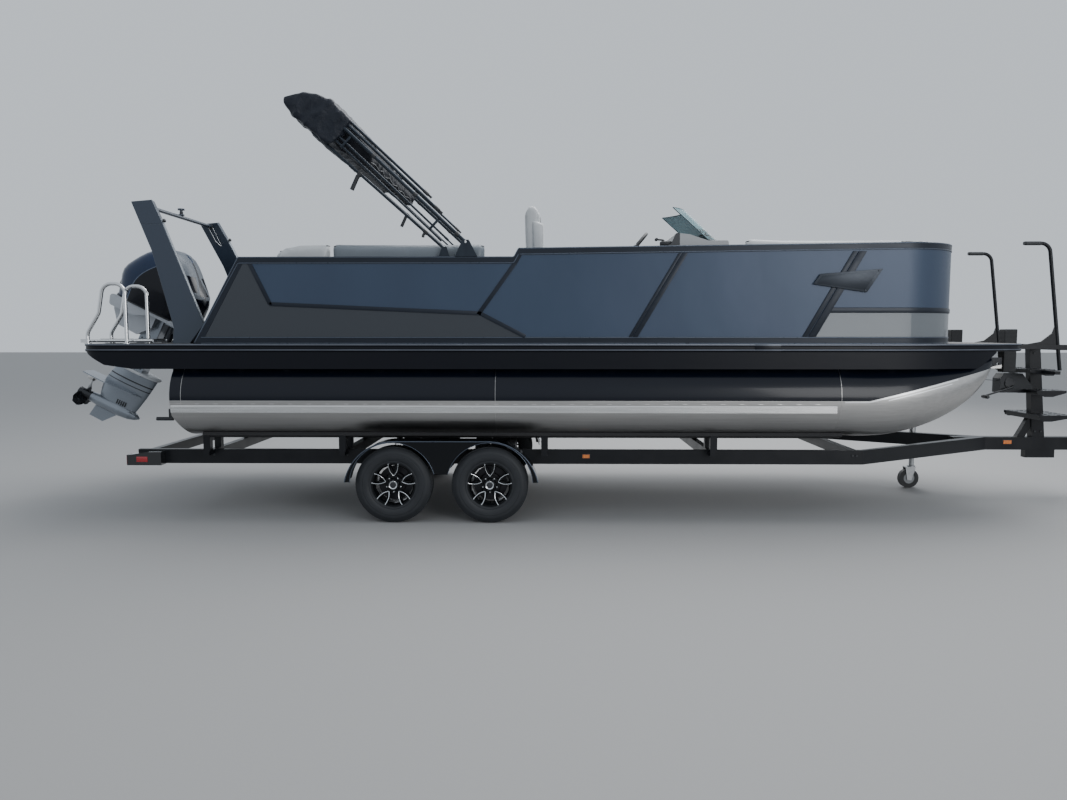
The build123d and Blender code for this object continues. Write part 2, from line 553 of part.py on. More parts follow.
# Bimini, folded up and aft.
def top(shape):
    """Places a shape of the folded top's frame: main pivot at 0, -X along the bows."""
    return Pos(BIMINI_X, 0, BIMINI_Z) * Rot(0, BIMINI_LEAN, 0) * shape


MAIN_R, BOW_R, BRACE_R, EYE_PIN_R = 16, 12.7, 12.7, 6
BOWS = [  # start, reach, half width, height above the main bow, radius
    (0, -1760, BIMINI_Y, 0, MAIN_R), (-350, -1690, 1205, 42, BOW_R), (-507, -1610, 1190, 76, BOW_R),
]


def bow(start, reach, half, up, radius, grow=0):
    corners = [(start, -half, up), (reach, -half, up), (reach, half, up), (start, half, up)]
    return pipe(corners, radius + grow, 240)


main_bow = bow(*BOWS[0])
eye = [rod((0, y - 20, 0), (0, y + 20, 0), EYE_PIN_R + GAP) for y in (-BIMINI_Y, BIMINI_Y)]
save("bimini_main_bow", top(main_bow - eye[0] - eye[1]))
inner_bows = [bow(*BOWS[1]), bow(*BOWS[2])]
save("bimini_inner_bows", [top(b) for b in inner_bows])
boot_side = [
    (-1370, 100), (-1740, 104), (-1890, 50), (-1950, -110), (-1860, -190), (-1450, -200), (-1370, -120),
]
boot = prism("XZ", boot_side, -1145, 1145)
for b in BOWS:
    boot = boot - bow(*b, grow=GAP)
save("bimini_boot", top(boot))

cheek = [(-1245, 2293), (-1065, 2293), (-1130, 2424), (-1184, 2424)]
mount = fuse(
    block((-1250, -1060), (1196, 1248), (FENCE_AFT_TOP, 2293)),
    prism("XZ", cheek, 1196, 1202), prism("XZ", cheek, 1242, 1248),
    rod((BIMINI_X, 1198, BIMINI_Z), (BIMINI_X, 1246, BIMINI_Z), EYE_PIN_R),
)
brace_mount = fuse(
    block((-1400, -1290), (1196, 1233), (FENCE_AFT_TOP, 2291)),
    prism("XZ", [(-1390, 2291), (-1300, 2291), (-1322, 2370), (-1362, 2370)], 1197, 1203),
    rod((BRACE_X, 1166, BRACE_Z), (BRACE_X, 1200, BRACE_Z), 5),
)
save("bimini_mounts", both(mount), both(brace_mount))
brace = rod((0, BRACE_Y, 0), (-1480, BRACE_Y, 0), BRACE_R)
brace = brace - rod((0, BRACE_Y - 20, 0), (0, BRACE_Y + 20, 0), 5 + GAP)
brace = Pos(BRACE_X, 0, BRACE_Z) * Rot(0, 41.4, 0) * brace
save("bimini_braces", both(brace))

# Trailer.
STATIONS = (-4040, -3500, -2300, -520, 960, 2230)      # cross tubes under the bunks
BEAM_LOW = 512
rail_in, rail_out = RAIL_Y - RAIL_WIDE / 2, RAIL_Y + RAIL_WIDE / 2
rails = both(block((FRAME_AFT, FRAME_BEND), (rail_in, rail_out), (FRAME_LOW, FRAME_TOP)))
cross_tubes = [block((x, x + 60), (-rail_in, rail_in), (BEAM_LOW, FRAME_TOP)) for x in STATIONS]
v_arm = prism("XY", [(FRAME_BEND, rail_out), (FRAME_MEET + 31, TONGUE_HALF),
                     (FRAME_MEET - 135, TONGUE_HALF), (FRAME_BEND, rail_in)], FRAME_LOW, FRAME_TOP)
tongue = block((3600, COUPLER_TIP - 250), (-TONGUE_HALF, TONGUE_HALF), (FRAME_LOW, FRAME_TOP))

# Axles: a square torsion tube under the rails and an arm trailing to each spindle.
ARM = 125
axles = []
for x in WHEEL_X:
    tube = block((x + ARM - 38, x + ARM + 38), (-1008, 1008), (FRAME_LOW - 76, FRAME_LOW))
    arm = [(x - 34, TYRE_R - 30), (x + 34, TYRE_R - 34), (x + ARM + 38, FRAME_LOW - 70),
           (x + ARM + 38, FRAME_LOW), (x + ARM - 38, FRAME_LOW), (x - 34, TYRE_R + 34)]
    arms = both(prism("XZ", arm, 1008, 1034))
    spindles = both(rod((x, 1030, TYRE_R), (x, 1190, TYRE_R), SPINDLE_R))
    axles.append(fuse(tube, *arms, *spindles))
save("axles", axles)

tyre_in, tyre_out = TYRE_OUT - TYRE_WIDE, TYRE_OUT
tyre_half = [
    (RIM_R, tyre_in + 20), (RIM_R + 30, tyre_in + 6), (255, tyre_in), (310, tyre_in + 14),
    (TYRE_R - 3, tyre_in + 34), (TYRE_R, tyre_in + 60), (TYRE_R, tyre_out - 60), (TYRE_R - 3, tyre_out - 34),
    (310, tyre_out - 14), (255, tyre_out), (RIM_R + 30, tyre_out - 6), (RIM_R, tyre_out - 20),
]
rim_half = [
    (SPINDLE_R + GAP, tyre_in + 30), (62, tyre_in + 30), (62, tyre_in + 95), (170, tyre_in + 110),
    (170, tyre_in + 22), (RIM_R, tyre_in + 22), (RIM_R, tyre_out - 22), (178, tyre_out - 22),
    (170, tyre_out - 34), (170, tyre_out - 60), (60, tyre_out - 48), (50, tyre_out - 16), (0, tyre_out - 16),
    (0, 1200), (SPINDLE_R + GAP, 1200),
]


def spun(points):
    """Turned about the Y axis from (radius, Y) points."""
    return revolve(make_face(Polyline(*[(r, y, 0) for r, y in points], close=True)), Axis.Y)


one_tyre, one_rim = spun(tyre_half), spun(rim_half)
SPOKE_WINDOWS = [  # middle in degrees, then each corner's radius and angle from the middle
    (90, [(92, 0), (165, 10.4), (168, 0), (165, -10.4)]),
    (54, [(82, 24), (165, 20.5), (168, 0), (165, -20.5), (82, -24)]),
]
for middle, corners in SPOKE_WINDOWS:
    for turn in range(0, 360, 72):
        spots = [(r, radians(middle + turn + a)) for r, a in corners]
        one_rim = one_rim - prism("XZ", [(r * cos(a), r * sin(a)) for r, a in spots], 1100, 1300)
for x, place in zip(WHEEL_X, ("rear", "front")):
    for shape, name in ((one_tyre, "tyre"), (one_rim, "rim")):
        left = Pos(x, 0, TYRE_R) * shape
        save(f"{name}_{place}_left", left)
        save(f"{name}_{place}_right", mirror(left, Plane.XZ))

BUNK = (90, 30)         # board's width and thickness
bunk_tilt = asin(110 / TUBE_R)
bunk_reach = TUBE_R + GAP + BUNK[1]     # from a tube's axis to the underside of its boards


def bunk_under(y, y0=TUBE_Y, side=1):
    """Height of the underside of the board on one side of the tube at y0."""
    mid = (y0 + side * bunk_reach * sin(bunk_tilt), TUBE_Z - bunk_reach * cos(bunk_tilt))
    return mid[1] + side * (y - mid[0]) * tan(bunk_tilt)


FENDER_IN, FENDER_OUT = 1045, 1288
FENDER_TOP = int(bunk_under(FENDER_IN) - CLEAR)     # just below the outer bunks
FENDER_R, FENDER_SHIFT = 437, 14        # its end arcs, whose centres lie inside the wheels'
FENDER_Z = FENDER_TOP - FENDER_R
FENDER_THICK, FENDER_END, WHEEL_ARCH = 8, 360, 372
fender_x = (WHEEL_X[0] + FENDER_SHIFT, WHEEL_X[1] - FENDER_SHIFT)


def fender_form(radius, low, y):
    """The space under a fender's tread: an arc over each wheel and a flat top between them."""
    ends = [rod((x, y[0], FENDER_Z), (x, y[1], FENDER_Z), radius) for x in fender_x]
    flat = block(fender_x, y, (low, FENDER_Z + radius))
    return fuse(flat, *ends) & block((-3000, 0), y, (low, 900))


tread_y, side_y = (FENDER_IN, FENDER_OUT), (FENDER_OUT - 6, FENDER_OUT)
tread = fender_form(FENDER_R, FENDER_END, tread_y)
tread = tread - fender_form(FENDER_R - FENDER_THICK, FENDER_END - 1, tread_y)
arches = [rod((x, 1200, TYRE_R), (x, 1300, TYRE_R), WHEEL_ARCH) for x in WHEEL_X]
side_plate = fender_form(FENDER_R, FENDER_END, side_y) - fuse(*arches)
side_plate = side_plate - block(WHEEL_X, (1200, 1300), (FENDER_END - 1, 430))
stay_x = (-1425, -1335)
mid_stay = fuse(
    block(stay_x, (rail_out, rail_out + 6), (FRAME_LOW + 20, FENDER_TOP)),
    block(stay_x, (rail_out, FENDER_IN + 10), (FENDER_TOP - 6, FENDER_TOP)),
)
save("fenders", both(fuse(tread, side_plate, mid_stay)))

bunks, posts = [], []
half_post = 30
for y0 in (-TUBE_Y, 0, TUBE_Y):
    for side in (-1, 1):
        board = Pos(-700, 0, BUNK[1] / 2 - bunk_reach) * Box(5600, *BUNK)
        bunks.append(Pos(0, y0, TUBE_Z) * Rot(side * degrees(bunk_tilt), 0, 0) * board)
        mid_y = y0 + side * bunk_reach * sin(bunk_tilt)
        edges = (mid_y - half_post, mid_y + half_post)
        ends = [(edges[0], FRAME_TOP), (edges[1], FRAME_TOP)]
        ends += [(y, bunk_under(y, y0, side)) for y in reversed(edges)]
        posts += [prism("YZ", ends, x, x + 60) for x in STATIONS[1:] if x < 2000]
for x in STATIONS[1:5]:
    posts += both(block((x, x + 50), (rail_out, 1102), (FRAME_TOP - 40, FRAME_TOP)))
save("bunks", bunks)
save("bunk_brackets", posts)
save("trailer_frame", rails, cross_tubes, both(v_arm), tongue)

lamp = block((-4195, -3890), (rail_out, rail_out + 95), (470, 590))
lamp = lamp - prism("XZ", [(-4200, 560), (-4200, 600), (-3880, 600), (-4000, 590)], 900, 1200)
lens = both(block((-4201, -4195), (rail_out + 8, rail_out + 87), (480, 555)))
side_marks = both(block((-150, -90), (rail_out, rail_out + 8), (530, 560)))
front_marks = both(block((4100, 4180), (TONGUE_HALF, TONGUE_HALF + 8), (535, 570)))
save("trailer_lights", both(lamp), lens, side_marks, front_marks)

# Winch stand with its steps, handrails and the two pads the bow rests against.
post_side = [(4385, FRAME_TOP), (4510, FRAME_TOP), (4424, 1530), (4318, 1530)]
post = prism("XZ", post_side, -40, 40)
foot = prism("XZ", [(4240, FRAME_TOP), (4320, FRAME_TOP), (4425, 800), (4365, 830)], -30, 30)
save("winch_stand", fuse(post, foot))

STEPS = [  # aft end, front end, top, half width
    (4180, 4420, 1290, 300), (4256, 4540, 1085, 300), (4290, 4620, 845, 300),
]
treads = []
for aft, front, top_z, half in STEPS:
    deck_plate = block((aft, front), (-half, half), (top_z - 8, top_z))
    sides = both(prism("XZ", [(aft, top_z), (front, top_z), (front, top_z - 22), (4410, top_z - 60),
                              (4330, top_z - 60), (aft, top_z - 24)], half - 6, half))
    bearer = block((4300, 4440), (-half, half), (top_z - 48, top_z - 8))
    tread = fuse(deck_plate, *sides, bearer) - post - foot
    treads.append(tread - block((3900, 4400), (-75, 75), (1030, 1260)))

GRIP_Y = 500
grip = [(3948, 2468), (4185, 2468), (4340, 1290)]
PAD_Y = (440, 540)
yoke = block((4330, 4400), (-GRIP_Y, GRIP_Y), (1480, 1530)) - prism("XZ", post_side, -40, 40)
arms = [block((3905, 4400), (y - 20, y + 20), (1490, 1530)) for y in (-490, 490)]
webs = [prism("XZ", [(3990, 1530), (4290, 1530), (4290, 1760), (4250, 1640), (4150, 1560)], y - 6, y + 6)
        for y in (-490, 490)]
grips = [pipe([(x, y, z) for x, z in grip], 17, 90) for y in (-490, 490)]
rail_sets = []
for n in range(2):
    rail_sets.append(fuse(arms[n], webs[n], grips[n]))
cross = block((4300, 4350), (-490, 490), (1250, 1282)) - post - foot
hand = fuse(*rail_sets, yoke, cross) - post
save("boarding_steps", hand, [t - hand for t in treads])
pads = [soften(block((DECK_FRONT + 2, 3905), (y - 50, y + 50), (1275, 1676)), 10) for y in (-490, 490)]
save("bow_pads", pads)

winch_side = [(4030, 1050), (4380, 1050), (4380, 1075), (4245, 1240), (4060, 1240), (4030, 1190)]
winch_box = prism("XZ", winch_side, -70, 70) - prism("XZ", post_side, -75, 75)
winch_box = [w for w in winch_box.solids() if w.center().X < 4300][0]
crank = fuse(rod((4150, -70, 1110), (4150, -110, 1110), 14), rod((4150, -100, 1110), (3850, -100, 1015), 9),
             rod((3850, -100, 1015), (3850, -190, 1015), 14))
winch = fuse(winch_box, crank)
strap_end = (4034, 1168)
strap = prism("XZ", band((BOW_EYE[0] + 2, BOW_EYE[1]), strap_end, 4), -25, 25) - winch
save("winch", winch, strap)

coupler = block((COUPLER_TIP - 260, COUPLER_TIP), (-42, 42), (FRAME_TOP - 100, FRAME_TOP - 20))
coupler = soften(coupler, 30, lambda edges: edges.filter_by(Axis.Z).group_by(Axis.X)[-1])
coupler = coupler - block((COUPLER_TIP - 300, COUPLER_TIP - 250), (-60, 60), (400, 700))
ball = rod((COUPLER_TIP - 60, 0, 480), (COUPLER_TIP - 60, 0, 550), 29.7)
save("coupler", coupler - ball, block((4330, 4620), (-38, 38), (395, FRAME_LOW)))

# Tongue jack with its swivel caster.
JACK_X, JACK_Y = 3413, 428
jack_arm = block((JACK_X - 30, JACK_X + 30), (300, JACK_Y), (500, 580))
jack = fuse(rod((JACK_X, JACK_Y, 330), (JACK_X, JACK_Y, 905), 32),
            rod((JACK_X, JACK_Y, 238), (JACK_X, JACK_Y, 340), 26),
            rod((JACK_X, JACK_Y, 905), (JACK_X, JACK_Y, 925), 22),
            rod((JACK_X, JACK_Y, 915), (JACK_X - 160, JACK_Y, 915), 9),
            rod((JACK_X - 160, JACK_Y, 915), (JACK_X - 160, JACK_Y, 990), 13),
            jack_arm)
jack = jack - v_arm
save("jack_post", max(jack.solids(), key=lambda piece: piece.volume))
CASTER_R = 101.5
trail = 30
fork = fuse(
    rod((JACK_X, JACK_Y, 226), (JACK_X, JACK_Y, 238 - GAP), 40),
    block((JACK_X - 75, JACK_X + 36), (JACK_Y - 38, JACK_Y + 38), (218, 226)),
    *[prism("XZ", [(JACK_X - 75, 226), (JACK_X + 36, 226), (JACK_X - 8, CASTER_R - 18), (JACK_X - 52, CASTER_R - 18)],
            JACK_Y + s - 3, JACK_Y + s + 3) for s in (-35, 35)],
    rod((JACK_X - trail, JACK_Y - 38, CASTER_R), (JACK_X - trail, JACK_Y + 38, CASTER_R), 8),
)
save("jack_fork", fork)
caster = rod((JACK_X - trail, JACK_Y - 27, CASTER_R), (JACK_X - trail, JACK_Y + 27, CASTER_R), CASTER_R)
caster = caster - rod((JACK_X - trail, JACK_Y - 30, CASTER_R), (JACK_X - trail, JACK_Y + 30, CASTER_R), 8 + GAP)
save("jack_wheel", caster)
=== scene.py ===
# Pontoon boat with a folded top, tow arch and tilted outboard motor, parked on its trailer.
# Metres, in the CAD model's frame: +X to the bow, +Y to port, +Z up, ground at 0.
from math import atan2, ceil, cos, degrees, pi, radians, sin

import bmesh
import bpy
from mathutils import Matrix, Vector, noise
from mathutils.bvhtree import BVHTree


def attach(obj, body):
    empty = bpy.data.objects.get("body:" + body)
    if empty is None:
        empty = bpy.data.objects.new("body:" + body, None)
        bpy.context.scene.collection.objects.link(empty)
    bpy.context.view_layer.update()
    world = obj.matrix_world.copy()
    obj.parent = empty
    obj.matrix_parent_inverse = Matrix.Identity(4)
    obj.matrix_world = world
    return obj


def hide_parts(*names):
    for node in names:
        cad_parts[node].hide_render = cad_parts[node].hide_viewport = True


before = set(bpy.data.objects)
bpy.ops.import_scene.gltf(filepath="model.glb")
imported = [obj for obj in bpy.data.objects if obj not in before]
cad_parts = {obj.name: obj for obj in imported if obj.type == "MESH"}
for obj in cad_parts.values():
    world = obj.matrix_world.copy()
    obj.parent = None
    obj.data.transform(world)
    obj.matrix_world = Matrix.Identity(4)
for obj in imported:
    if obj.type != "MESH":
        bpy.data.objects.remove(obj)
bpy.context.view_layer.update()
BOAT = "boat_on_trailer"

# Camera. It stands on the starboard side, a little aft of the middle, at eye height, and looks
# slightly down. FOCAL is the focal length in the photograph's pixels, DOWN and LEFT are degrees.
PHOTO_WIDE, FOCAL, SENSOR = 1067, 801, 36
EYE, DOWN, LEFT = (-0.487, -8.07, 1.64), 4.78, 0.82
camera = bpy.data.objects.new("camera", bpy.data.cameras.new("camera"))
camera.data.sensor_width = SENSOR
camera.data.lens = FOCAL / PHOTO_WIDE * SENSOR
camera.location = EYE
camera.rotation_euler = (radians(90 - DOWN), 0, radians(LEFT))
bpy.context.scene.collection.objects.link(camera)
bpy.context.scene.camera = camera

# Studio. A grey floor, a pale all-round light, one large lamp overhead and a wide one in front.
world = bpy.data.worlds.new("studio")
bpy.context.scene.world = world
world.use_nodes = True
sky = world.node_tree.nodes["Background"].inputs
sky["Color"].default_value, sky["Strength"].default_value = (0.80, 0.86, 0.93, 1), 0.85


def lamp(name, place, aim, size, power):
    """A square soft lamp at a place, turned to face a point."""
    light = bpy.data.objects.new(name, bpy.data.lights.new(name, "AREA"))
    light.data.shape, light.data.size, light.data.energy = "SQUARE", size, power
    light.location = place
    light.rotation_euler = (Vector(aim) - Vector(place)).to_track_quat("-Z", "Y").to_euler()
    bpy.context.scene.collection.objects.link(light)


lamp("overhead", (1.5, 1.5, 8.5), (0, 0, 1), 8, 900)
lamp("front", (7.5, -12.0, 4.2), (1, 0, 1.4), 6, 520)
lamp("behind", (4.0, 11.0, 6.0), (0, 0, 1.5), 6, 300)


class Value:
    """A node socket that takes part in sums, so that shader maths reads as Python."""

    def __init__(self, finish, socket):
        self.finish, self.socket = finish, socket

    def maths(self, operation, a, b=0.0):
        return self.finish.node("ShaderNodeMath", {"operation": operation}, {0: a, 1: b})

    def __add__(self, other):
        return self.maths("ADD", self, other)

    def __sub__(self, other):
        return self.maths("SUBTRACT", self, other)

    def __rsub__(self, other):
        return self.maths("SUBTRACT", other, self)

    def __mul__(self, other):
        return self.maths("MULTIPLY", self, other)

    def __mod__(self, other):
        return self.maths("FLOORED_MODULO", self, other)

    def __gt__(self, other):
        return self.maths("GREATER_THAN", self, other)

    def __lt__(self, other):
        return self.maths("LESS_THAN", self, other)

    def __abs__(self):
        return self.maths("ABSOLUTE", self)

    def wave(self):
        return self.maths("SINE", self)

    def high(self, other):
        return self.maths("MAXIMUM", self, other)

    __radd__ = __add__
    __rmul__ = __mul__


class Finish:
    """One procedural material. What is the same all over sits on the shader's own sockets."""

    def __init__(self, name, colour, roughness, **fixed):
        self.material = bpy.data.materials.new(name)
        self.material.use_nodes = True
        self.tree = self.material.node_tree
        self.inputs = self.tree.nodes["Principled BSDF"].inputs
        self.colour((*colour, 1))
        self.rough(roughness)
        for key, value in fixed.items():
            self.feed(self.inputs[key.replace("_", " ")], value)
        self.place = self.node("ShaderNodeTexCoord", {}, {}, "Object")

    def feed(self, socket, value):
        if isinstance(value, Value):
            self.tree.links.new(value.socket, socket)
        else:
            socket.default_value = value

    def node(self, kind, settings, sockets, out=0):
        made = self.tree.nodes.new(kind)
        for key, value in settings.items():
            setattr(made, key, value)
        for key, value in sockets.items():
            self.feed(made.inputs[key], value)
        return Value(self, made.outputs[out])

    def axes(self):
        """X, Y and Z of the point that is shaded."""
        split = self.node("ShaderNodeSeparateXYZ", {}, {0: self.place})
        return [Value(self, out) for out in split.socket.node.outputs]

    def noise(self, scale, stretch=(1, 1, 1), detail=3.0):
        """Soft noise from 0 to 1, drawn out along an axis where its stretch is small."""
        place = self.node("ShaderNodeMapping", {}, {"Vector": self.place, "Scale": stretch})
        sockets = {"Vector": place, "Scale": scale, "Detail": detail}
        return self.node("ShaderNodeTexNoise", {}, sockets)

    def mix(self, share, a, b):
        """Colour a where share is 0 and colour b where it is 1."""
        a, b = ((*c, 1) if isinstance(c, tuple) else c for c in (a, b))
        return self.node("ShaderNodeMix", {"data_type": "RGBA"}, {0: share, 6: a, 7: b}, 2)

    def colour(self, value):
        self.feed(self.inputs["Base Color"], value)

    def rough(self, value):
        self.feed(self.inputs["Roughness"], value)

    def metal(self, value):
        self.feed(self.inputs["Metallic"], value)

    def bump(self, height, depth):
        """Relief: depth is how deep, in metres, a height of 1 stands."""
        sockets = {"Height": height, "Distance": depth, "Strength": 1.0}
        self.feed(self.inputs["Normal"], self.node("ShaderNodeBump", {}, sockets))

    def worn(self, scale, spread, base, *colours, stretch=(1, 1, 1)):
        """One noise varies roughness above its base, and colour between two if they are given."""
        spots = self.noise(scale, stretch)
        self.rough(spots * spread + base)
        if colours:
            self.colour(self.mix(spots, *colours))
        return self


floor_finish = Finish("grey_floor", (0.33, 0.33, 0.33), 0.75)
floor_finish.bump(floor_finish.noise(60), 0.0006)
floor_mesh = bmesh.new()
bmesh.ops.create_grid(floor_mesh, x_segments=1, y_segments=1, size=60)
floor = bpy.data.objects.new("floor", bpy.data.meshes.new("floor"))
floor_mesh.to_mesh(floor.data)
floor_mesh.free()
floor.data.materials.append(floor_finish.material)
bpy.context.scene.collection.objects.link(floor)


# Tubes. Three closed aluminium logs with nosecones, bare and brushed below, wrapped in glossy
# black film above a straight line that climbs along the nosecone. Their ring seams are welded.
PAINT_LINE = 1.065      # height of the film's lower edge along the tube
NOSE_LINE = (2.12, 1.033, 0.2336)       # where the edge starts to climb: X, height, slope
TUBE_R, TUBE_Z, TUBE_YS = 0.343, 1.083, (-0.952, 0.0, 0.952)

tube_finish = Finish("tube_film_and_metal", (0.5, 0.5, 0.5), 0.3, Coat_Roughness=0.12,
                     Specular_IOR_Level=0.2)
along, _, height = tube_finish.axes()
edge = ((along - NOSE_LINE[0]) * NOSE_LINE[2] + NOSE_LINE[1]).high(PAINT_LINE)
below = edge - height
film = below < 0.0
flash = (abs(below - 0.010) < 0.006) * (along > 2.05) * (along < 3.06)
flash = flash.high((abs(below - 0.034) < 0.004) * (along > 2.42) * (along < 3.0))
streaks = tube_finish.noise(70, (0.02, 1, 1))
clouds = tube_finish.noise(3, (0.4, 1, 1))
bare = tube_finish.mix(streaks * 0.55 + clouds * 0.45, (0.36, 0.355, 0.35), (0.66, 0.65, 0.635))
bare = tube_finish.mix(flash, bare, (0.86, 0.87, 0.88))
tube_finish.colour(tube_finish.mix(film, bare, (0.002, 0.004, 0.010)))
tube_finish.metal(1.0 - film)
tube_finish.rough((1.0 - film) * (streaks * 0.16 + 0.24) + film * 0.30)
tube_finish.feed(tube_finish.inputs["Coat Weight"], film * 0.3)
tube_finish.bump(streaks * (1.0 - film), 0.0004)


def wear(node, finish):
    """Gives a CAD node its finish."""
    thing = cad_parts[node]
    thing.data.materials.clear()
    thing.data.materials.append(finish.material)


def join(*parts):
    """One bmesh from several."""
    whole = bmesh.new()
    for part in parts:
        mesh = bpy.data.meshes.new("part")
        part.to_mesh(mesh)
        part.free()
        whole.from_mesh(mesh)
        bpy.data.meshes.remove(mesh)
    return whole


def turn(angle, axis="Y"):
    """A turn by an angle in degrees about an axis."""
    return Matrix.Rotation(radians(angle), 4, axis)


def shift(*way):
    """A move by X, Y and Z."""
    return Matrix.Translation(way)


def moved(part, matrix):
    """The part after a move, a turn or both."""
    bmesh.ops.transform(part, matrix=matrix, verts=part.verts)
    return part


def copies(part, matrices):
    """The part at each place, and no longer at its own."""
    made = [moved(part.copy(), matrix) for matrix in matrices]
    part.free()
    return join(*made)


def mirror(part):
    """A copy of the part on the boat's other side."""
    other = part.copy()
    bmesh.ops.scale(other, vec=(1, -1, 1), verts=other.verts)
    bmesh.ops.reverse_faces(other, faces=other.faces)
    return other


def twins(part):
    """The part and its mirror image across the centre plane."""
    return join(part, mirror(part))


def merged(part):
    """The part with its doubled points merged and its faces outward."""
    bmesh.ops.remove_doubles(part, verts=part.verts, dist=1e-6)
    bmesh.ops.recalc_face_normals(part, faces=part.faces)
    return part


def closed(part):
    """The part with its open ends filled and its faces outward."""
    bmesh.ops.holes_fill(part, edges=[e for e in part.edges if e.is_boundary], sides=0)
    bmesh.ops.recalc_face_normals(part, faces=part.faces)
    return part


def round_edges(part, width, steps=2, sharper=30):
    """Bevels each edge that is sharper than an angle."""
    edges = [e for e in part.edges
             if len(e.link_faces) == 2 and e.calc_face_angle() > radians(sharper)]
    bmesh.ops.bevel(part, geom=edges, offset=width, offset_type="OFFSET", segments=steps,
                    profile=0.5, affect="EDGES", material=-1, clamp_overlap=True)
    return part


def bar(x, y, z, edge=0.0):
    """A bar between two X, two Y and two Z values, with rounded edges."""
    part = bmesh.new()
    bmesh.ops.create_cube(part, size=1)
    bmesh.ops.scale(part, vec=[abs(b - a) for a, b in (x, y, z)], verts=part.verts)
    bmesh.ops.translate(part, vec=[(a + b) / 2 for a, b in (x, y, z)], verts=part.verts)
    return round_edges(part, edge) if edge else part


def lathe(profile, start=(0, 0, 0), toward=(0, 0, 1), steps=32):
    """A turned part: (along, radius) points spun about a line from start."""
    part = bmesh.new()
    verts = [part.verts.new((r, 0, a)) for a, r in profile]
    edges = [part.edges.new(pair) for pair in zip(verts, verts[1:])]
    bmesh.ops.spin(part, geom=verts + edges, axis=(0, 0, 1), cent=(0, 0, 0), angle=2 * pi,
                   steps=steps, use_merge=True)
    tip = Vector((0, 0, 1)).rotation_difference(Vector(toward)).to_matrix().to_4x4()
    return moved(merged(part), shift(*start) @ tip)


def disc(start, end, radius, edge=0.0, steps=24):
    """A round bar between two points, with rounded ends."""
    length = (Vector(end) - Vector(start)).length
    profile = [(0, 0), (0, radius - edge), (edge, radius), (length - edge, radius),
               (length, radius - edge), (length, 0)]
    return lathe(profile, start, Vector(end) - Vector(start), steps)


def studs(places, push, radius, edge, sides):
    """A screw, bolt head or cap at each place, standing out by push."""
    return [disc(p, Vector(p) + Vector(push), radius, edge, sides) for p in places]


def rounded(points, bend, steps=7):
    """The points of a route with arcs at its corners."""
    route = [Vector(p) for p in points]
    if not bend:
        return route
    out = [route[0]]
    for before, corner, after in zip(route, route[1:], route[2:]):
        a, b = (before - corner).normalized(), (after - corner).normalized()
        angle = a.angle(b)
        reach = min(bend / max(0.01, sin(angle / 2) / cos(angle / 2)),
                    (before - corner).length * 0.49, (after - corner).length * 0.49)
        for n in range(steps + 1):
            t = n / steps
            out.append(corner + a * reach * (1 - t) ** 2 + b * reach * t**2)
    return out + [route[-1]]


def pipe(points, radius, bend=0.0, sides=4):
    """A round tube along a route with rounded corners."""
    curve = bpy.data.curves.new("route", "CURVE")
    curve.dimensions = "3D"
    spline = curve.splines.new("POLY")
    route = rounded(points, bend)
    spline.points.add(len(route) - 1)
    for point, place in zip(spline.points, route):
        point.co = (*place, 1)
    curve.bevel_depth, curve.bevel_resolution, curve.use_fill_caps = radius, sides, True
    holder = bpy.data.objects.new("route", curve)
    mesh = bpy.data.meshes.new_from_object(holder)
    part = bmesh.new()
    part.from_mesh(mesh)
    bpy.data.meshes.remove(mesh)
    bpy.data.objects.remove(holder)
    bpy.data.curves.remove(curve)
    return merged(part)


def prism(plane, outline, low, high, edge=0.0, steps=2):
    """An outline on XZ, YZ or XY with a thickness along the third axis, and rounded edges."""
    through = {"XZ": 1, "YZ": 0, "XY": 2}[plane]
    part, push = bmesh.new(), Vector()
    push[through] = high - low
    corners = [[*p[:through], low, *p[through:]] for p in outline]
    face = part.faces.new([part.verts.new(p) for p in corners])
    grown = bmesh.ops.extrude_face_region(part, geom=[face])["geom"]
    far = [v for v in grown if isinstance(v, bmesh.types.BMVert)]
    bmesh.ops.translate(part, vec=push, verts=far)
    bmesh.ops.recalc_face_normals(part, faces=part.faces)
    return round_edges(part, edge, steps) if edge else part


def piece(name, part, finish, body=BOAT, smooth=35, replaces=()):
    """Turns a bmesh into a piece of the object, which rides on a body."""
    mesh = bpy.data.meshes.new(name)
    part.to_mesh(mesh)
    part.free()
    thing = bpy.data.objects.new(name, mesh)
    bpy.context.scene.collection.objects.link(thing)
    mesh.materials.append(finish.material)
    mesh.shade_smooth()
    mesh.set_sharp_from_angle(angle=radians(smooth))
    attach(thing, body)
    if replaces:
        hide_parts(*replaces)
    return thing


wear("pontoons", tube_finish)
weld_finish = Finish("weld_bead", (0.62, 0.61, 0.60), 0.32, Metallic=1.0)
weld_finish.bump(weld_finish.noise(400), 0.0006)
seam = bmesh.new()
bmesh.ops.create_circle(seam, radius=0.0022, segments=6)
moved(seam, shift(TUBE_R, 0, 0) @ turn(90, "X"))
bmesh.ops.spin(seam, geom=seam.verts[:] + seam.edges[:], axis=(0, 0, 1), cent=(0, 0, 0),
               angle=2 * pi, steps=72, use_merge=True)
places = [shift(x, y, TUBE_Z) @ turn(90) for x in (-3.60, -0.91, 2.02) for y in TUBE_YS]
piece("tube_ring_seams", copies(merged(seam), places), weld_finish)

